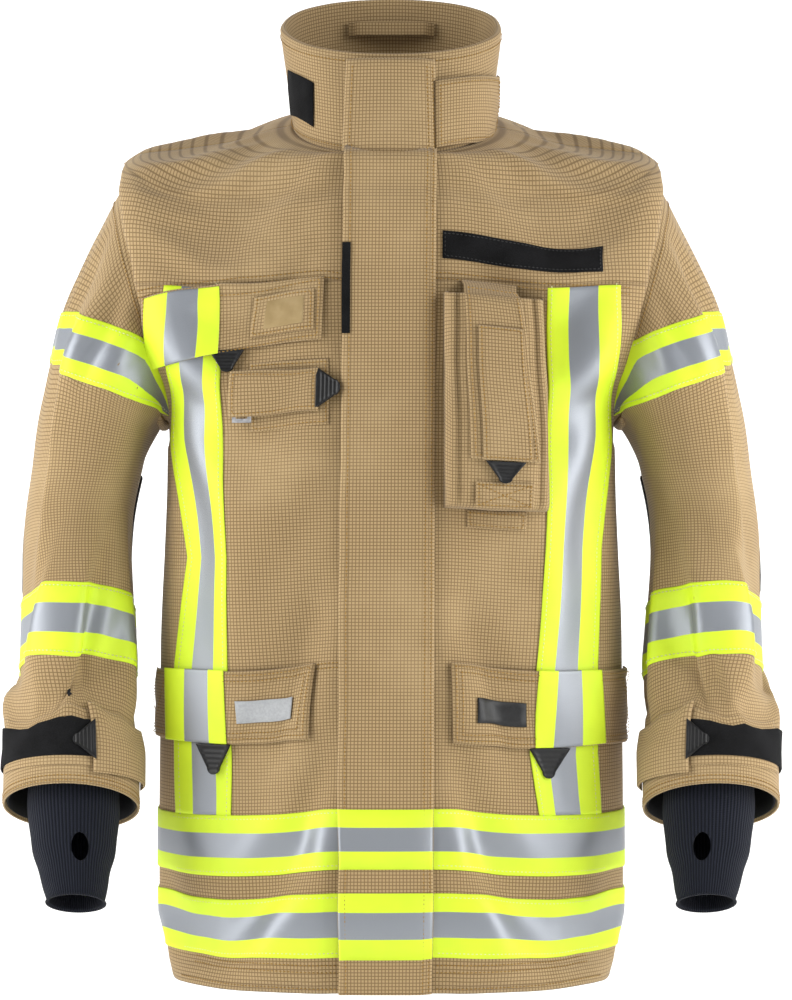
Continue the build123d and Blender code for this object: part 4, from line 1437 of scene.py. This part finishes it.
# %% Radio pocket
pleat_x = np.array([53, 53.5, 58, 62, 64, 66, 70, 76, 90, 104, 118, 130, 137, 141, 143, 145, 149, 153.5, 154])
pleat_lift = np.array([0.4, 12, 21, 23, 20.5, 21, 24.5, 25, 25.4, 25.6, 25.4, 25, 24.5, 21, 20.5, 23, 21,
                       12, 0.4])
pocket_z = np.concatenate([np.linspace(703, 500, 40), [495, 491, 488.5, 487, 486.6]])
sink = np.concatenate([np.ones(40), [0.97, 0.85, 0.62, 0.3, 0.02]])
px, pz = np.meshgrid(pleat_x, pocket_z)
stand = 0.4 + (pleat_lift[None] - 0.4) * sink[:, None] * (1 + 0.03 * np.sin(pz / 21.0))
inner_x = 103.5 + (px - 103.5) * 0.965
inner_stand = np.maximum(stand - 2.0, 0.2)
outer = on_front(px, pz, stand)
inner = on_front(inner_x, pz + 1.5 * (1 - sink[:, None]), inner_stand)
cloth_piece("radio_bellows", [sheet_arrays(outer, inner, grid_map(outer))], SHELL, "coat", ["radio_pocket"])
radio_lid = flap_sheet([(71, 716), (128, 715)], [(75, 542), (140, 541)], 27.5, 2.6, 12, 30, 1.4)
cloth_piece("radio_cover", [radio_lid], SHELL, "radio_flap", ["radio_flap"])
patch("radio_strap", [(83, 669), (128, 667), (133, 541), (86, 541)], 31.6, 1.4, SHELL, "radio_flap", [],
      "shell_cloth", columns=8, rows=16)
tab_on_front("radio_tab", 108, 540, 28.6, 42, 22, "radio_flap", "radio_pull_tab")
patch("radio_x_patch", [(80, 517), (135, 517), (135, 489), (80, 489)], 26.4, 0.9, SHELL, "coat", [],
      "shell_cloth", columns=6, rows=5)
patch("radio_foot_tab", [(77, 486), (135, 486), (135, 467), (77, 468)], 0.6, 1.6, SHELL, "coat", [],
      "shell_cloth", columns=6, rows=4)
patch("lamp_ground", [(-142, 638), (-63, 638), (-62, 572), (-142, 569)], 0.5, 1.4, SHELL, "coat",
      ["lamp_base_patch"], "shell_cloth", columns=8, rows=7)
patch("lamp_holder", [(-160, 630), (-73, 630), (-72, 585), (-161, 586)], 5.9, 2.6, SHELL, "lamp_strap",
      ["lamp_strap"], "shell_cloth", columns=10, rows=6)
tab_on_front("lamp_tab", -74, 608, 5.4, 43, 25, "lamp_strap", "lamp_pull_tab", way=(1, 0, 0), tip=8.0)

# %% [markdown]
# ## Wristlets
# A rib-knit tube comes out of each cuff and narrows to the wrist. The thumb goes through a hole in the
# front of it, cut with a Boolean.

# %% Wristlets
WRIST_ROWS = [((326, -90, 226), 45, 48), ((325, -104, 198), 47, 46), ((322, -126, 155), 44, 41),
              ((320, -139, 127), 37, 34), ((317, -152, 100), 30, 28), ((316.5, -154, 95), 30.5, 28.5)]
for side, word in ((-1, "right"), (1, "left")):
    rows = cubic(np.array([list(c) + [a, d] for c, a, d in WRIST_ROWS]), 8)
    angle = np.arange(96) / 96 * 2 * np.pi
    fall = np.array([0, -0.46, -0.89])
    forward = np.array([0, -0.89, 0.46])
    outward = np.array([side, 0, 0])
    outer, inner = [], []
    for k, row in enumerate(rows):
        centre = row[:3] * [side, 1, 1]
        soft = 1.0 + 0.012 * math.sin(k * 0.7)
        ring_way = np.outer(np.cos(angle), outward) + np.outer(np.sin(angle), forward)
        reach = np.outer(np.cos(angle) * row[3] * soft, outward)
        reach = reach + np.outer(np.sin(angle) * row[4] * soft, forward)
        outer.append(centre + reach)
        inner.append(centre + reach - ring_way * 2.6)
    outer, inner = np.array(outer), np.array(inner)
    piece = joined(word + "_knit_wrist", [sheet_arrays(outer, inner, grid_map(outer), wrap=True)], KNIT)
    hole_at = np.array([side * 314.0, -158.0, 153.0])
    hole_way = Vector((-side * 0.42, -0.90, 0.10)).normalized()
    bpy.ops.mesh.primitive_cylinder_add(vertices=32, radius=0.0105, depth=0.06, location=to_frame(hole_at))
    punch = bpy.context.object
    punch.rotation_euler = hole_way.to_track_quat("Z", "Y").to_euler()
    punch.scale = (0.85, 1.35, 1)
    cut = piece.modifiers.new("thumb_hole", "BOOLEAN")
    cut.operation, cut.solver, cut.object = "DIFFERENCE", "EXACT", punch
    bpy.context.view_layer.update()
    done = bpy.data.meshes.new_from_object(piece.evaluated_get(bpy.context.evaluated_depsgraph_get()))
    piece.modifiers.clear()
    piece.data = done
    bpy.data.objects.remove(punch, do_unlink=True)
    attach(piece, word + "_sleeve")
    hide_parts(word + "_wristlet")
    declare_sheet(piece)
print("trims, flaps and wristlets made")

# %% [markdown]
# ## Where the seams run
# Most seams are double rows 6 mm apart. The pale thread near the edges of the tape is a chain of short
# dashes, and the flaps are topstitched all round.

# %% Seams


def double_seam(line, gap=6.0, lift=0.7, where="coat", thread="gold"):
    """Two rows of stitches, the second below the first."""
    front_seam(line, lift, where, thread)
    front_seam([(x, z - gap) for x, z in line], lift, where, thread)


def seam_round(corners, inset, lift, where, thread="gold", rows=1):
    """Stitches round the inside of a four-sided patch."""
    for row in range(rows):
        centre = np.mean(corners, axis=0)
        away = inset + 6 * row
        ring = []
        for x, z in corners:
            dx, dz = x - centre[0], z - centre[1]
            ring.append((x - math.copysign(away, dx), z - math.copysign(away, dz)))
        front_seam(ring + ring[:1], lift, where, thread)


double_seam([(-250, 710), (-191, 720), (-153, 724), (-74, 726), (-50, 722)], lift=1.0)
double_seam([(46, 723), (132, 720), (236, 712)], lift=1.0)
for a, b in ((-1, -52), (1, 46)):
    double_seam([(b, 29), (a * 205, 33)], lift=0.6)
    front_seam([(b, 9), (a * 215, 11)], 0.6)
double_seam([(-84, 327), (-54, 328)], gap=5)
HIP_EDGES = {"right": [(-228, 324), (-77, 328), (-84, 252), (-236, 254)],
             "left": [(59, 328), (232, 324), (238, 247), (62, 246)]}
for word, corners in HIP_EDGES.items():
    seam_round(corners, 4, 6.9, word + "_hip_flap", rows=2)
seam_round([(-246, 706), (-67, 719), (-70, 657), (-243, 637)], 4, 6.4, "right_chest_flap")
seam_round([(-140, 705), (-76, 707), (-77, 666), (-142, 662)], 3, 7.7, "right_chest_flap")
seam_round([(-142, 638), (-63, 638), (-62, 572), (-142, 569)], 3, 2.0, "coat")
seam_round([(-160, 630), (-73, 630), (-72, 585), (-161, 586)], 4, 8.7, "lamp_strap")
seam_round([(71, 712), (128, 711), (140, 541), (75, 542)], 4, 30.9, "radio_flap")
seam_round([(83, 669), (128, 667), (133, 541), (86, 541)], 3, 33.2, "radio_flap")
seam_round([(80, 517), (135, 517), (135, 489), (80, 489)], 3, 27.6, "coat")
front_seam([(83, 514), (132, 492)], 27.6)
front_seam([(83, 492), (132, 514)], 27.6)
seam_round([(77, 486), (135, 486), (135, 467), (77, 468)], 3, 2.4, "coat")
seam_round([(52, 763), (214, 755), (212, 727), (52, 737)], 2.5, 2.4, "coat", "dark")
seam_round([(43, 927), (115, 944), (110, 876), (43, 858)], 5, 7.6, "throat_tab")
for z0, z1 in HEM_TAPES:
    for z in (z0 + 4, z1 - 4):
        for a, b in ((-215, -54), (47, 215)):
            front_seam([(a, z), (b, z)], 1.7, thread="pale")
for side in (-1, 1):
    outline = STRIPES[side]
    for line in (outline[:1] + outline[:6:-1], outline[1:7]):
        line = sorted(line, key=lambda p: -p[1])
        sign = 1 if np.mean([p[0] for p in line]) < np.mean([p[0] for p in outline]) else -1
        front_seam([(x + 4 * sign, z) for x, z in line], 1.7, thread="pale")
for side, word in ((-1, "right"), (1, "left")):
    turns = np.linspace(0, 1, 260)
    for row in (0.9, 2.3):
        seam(sleeves[side].at(turns, np.full_like(turns, row), np.full_like(turns, 0.5)), word + "_arm_seam")
    for top_level in ((707, 646), (656, 590), (398, 386, 22), (328, 318, 20)):
        inward = -4 if top_level[0] in (707, 398) else 4
        shifted = (top_level[0] + inward, top_level[1] + inward) + tuple(top_level[2:])
        at_turn, at_row = sleeve_rows_at(side, *shifted)
        even = np.linspace(0, 1, 220)
        seam(sleeves[side].at(even, np.interp(even, at_turn, at_row), np.full_like(even, 1.8)),
             word + "_arm_seam", "pale")
    for drop in (3.0, 8.0):
        seam(sleeves[side].at(turns, np.full_like(turns, 84 - drop / 8), np.full_like(turns, 0.5)),
             word + "_arm_seam")
turns = np.linspace(0, 1, 220)
for row in (1.0, 17.8):
    seam(collar.at(turns, np.full_like(turns, row), np.full_like(turns, 1.2)))

# %% [markdown]
# ## Sewing it together
# All the remembered seams become meshes now, one for each body and colour of thread.

# %% Sew
SEAM_BLENDS = {"storm_flap": storm_turn}
for side, word in ((-1, "right"), (1, "left")):
    SEAM_BLENDS[word + "_arm_seam"] = sleeve_blend(side)
sew({"gold": THREAD, "pale": PALE_THREAD, "dark": DARK_THREAD}, SEAM_BLENDS)

# %% [markdown]
# ## Light and backdrop
# Two large soft boxes stand to the left and right and a little in front, so the outer edges of the coat
# are bright and its middle is calmer. A weak third one hangs high in front. The backdrop is a plain
# pale sweep.

# %% Lights and backdrop


def soft_box(name, place, aim, width, height, power):
    data = bpy.data.lights.new(name, "AREA")
    data.shape = "RECTANGLE"
    data.size, data.size_y = width, height
    data.energy = power
    light = bpy.data.objects.new(name, data)
    bpy.context.scene.collection.objects.link(light)
    start, end = np.array(to_frame(place)), np.array(to_frame(aim))
    light.location = start
    light.rotation_euler = Vector(end - start).to_track_quat("-Z", "Y").to_euler()
    return light


soft_box("box_left", (-1600, -650, 850), (-60, 0, 480), 1.0, 2.0, 36)
soft_box("box_right", (1600, -650, 850), (60, 0, 480), 1.0, 2.0, 36)
soft_box("box_front", (0, -2600, 1900), (0, 0, 500), 1.6, 1.0, 5)
world = bpy.data.worlds.new("studio")
world.use_nodes = True
world.node_tree.nodes["Background"].inputs["Color"].default_value = (1, 1, 1, 1)
world.node_tree.nodes["Background"].inputs["Strength"].default_value = 0.30
bpy.context.scene.world = world
bpy.context.scene.view_settings.view_transform = "Standard"

sweep_section = [(-3.0, -0.02), (0.9, -0.02), (1.15, 0.02), (1.35, 0.16), (1.45, 0.4), (1.5, 0.8), (1.5, 3.2)]
sweep_verts = [(x, y, z + to_frame([0, 0, -60])[2]) for x in (-4, 4) for y, z in sweep_section]
count = len(sweep_section)
sweep_faces = [(k, k + count, k + count + 1, k + 1) for k in range(count - 1)]
sweep_mesh = bpy.data.meshes.new("backdrop")
sweep_mesh.from_pydata(sweep_verts, [], sweep_faces)
sweep_mesh.polygons.foreach_set("use_smooth", [True] * len(sweep_mesh.polygons))
sweep_paint = bpy.data.materials.new("backdrop_white")
sweep_paint.use_nodes = True
sweep_paint.node_tree.nodes["Principled BSDF"].inputs["Base Color"].default_value = (0.93, 0.93, 0.93, 1)
sweep_paint.node_tree.nodes["Principled BSDF"].inputs["Roughness"].default_value = 0.9
sweep_paint.node_tree.nodes["Principled BSDF"].inputs["Emission Color"].default_value = (1, 1, 1, 1)
sweep_paint.node_tree.nodes["Principled BSDF"].inputs["Emission Strength"].default_value = 0.35
sweep_mesh.materials.append(sweep_paint)
backdrop = bpy.data.objects.new("backdrop", sweep_mesh)
bpy.context.scene.collection.objects.link(backdrop)

# %% [markdown]
# ## Sizes, and the end
# The laid-flat width and length of each sheet of cloth are printed.

# %% Sizes and finish
for name, width, length in made_sheets:
    print("sheet", name, width, "x", length, "m")
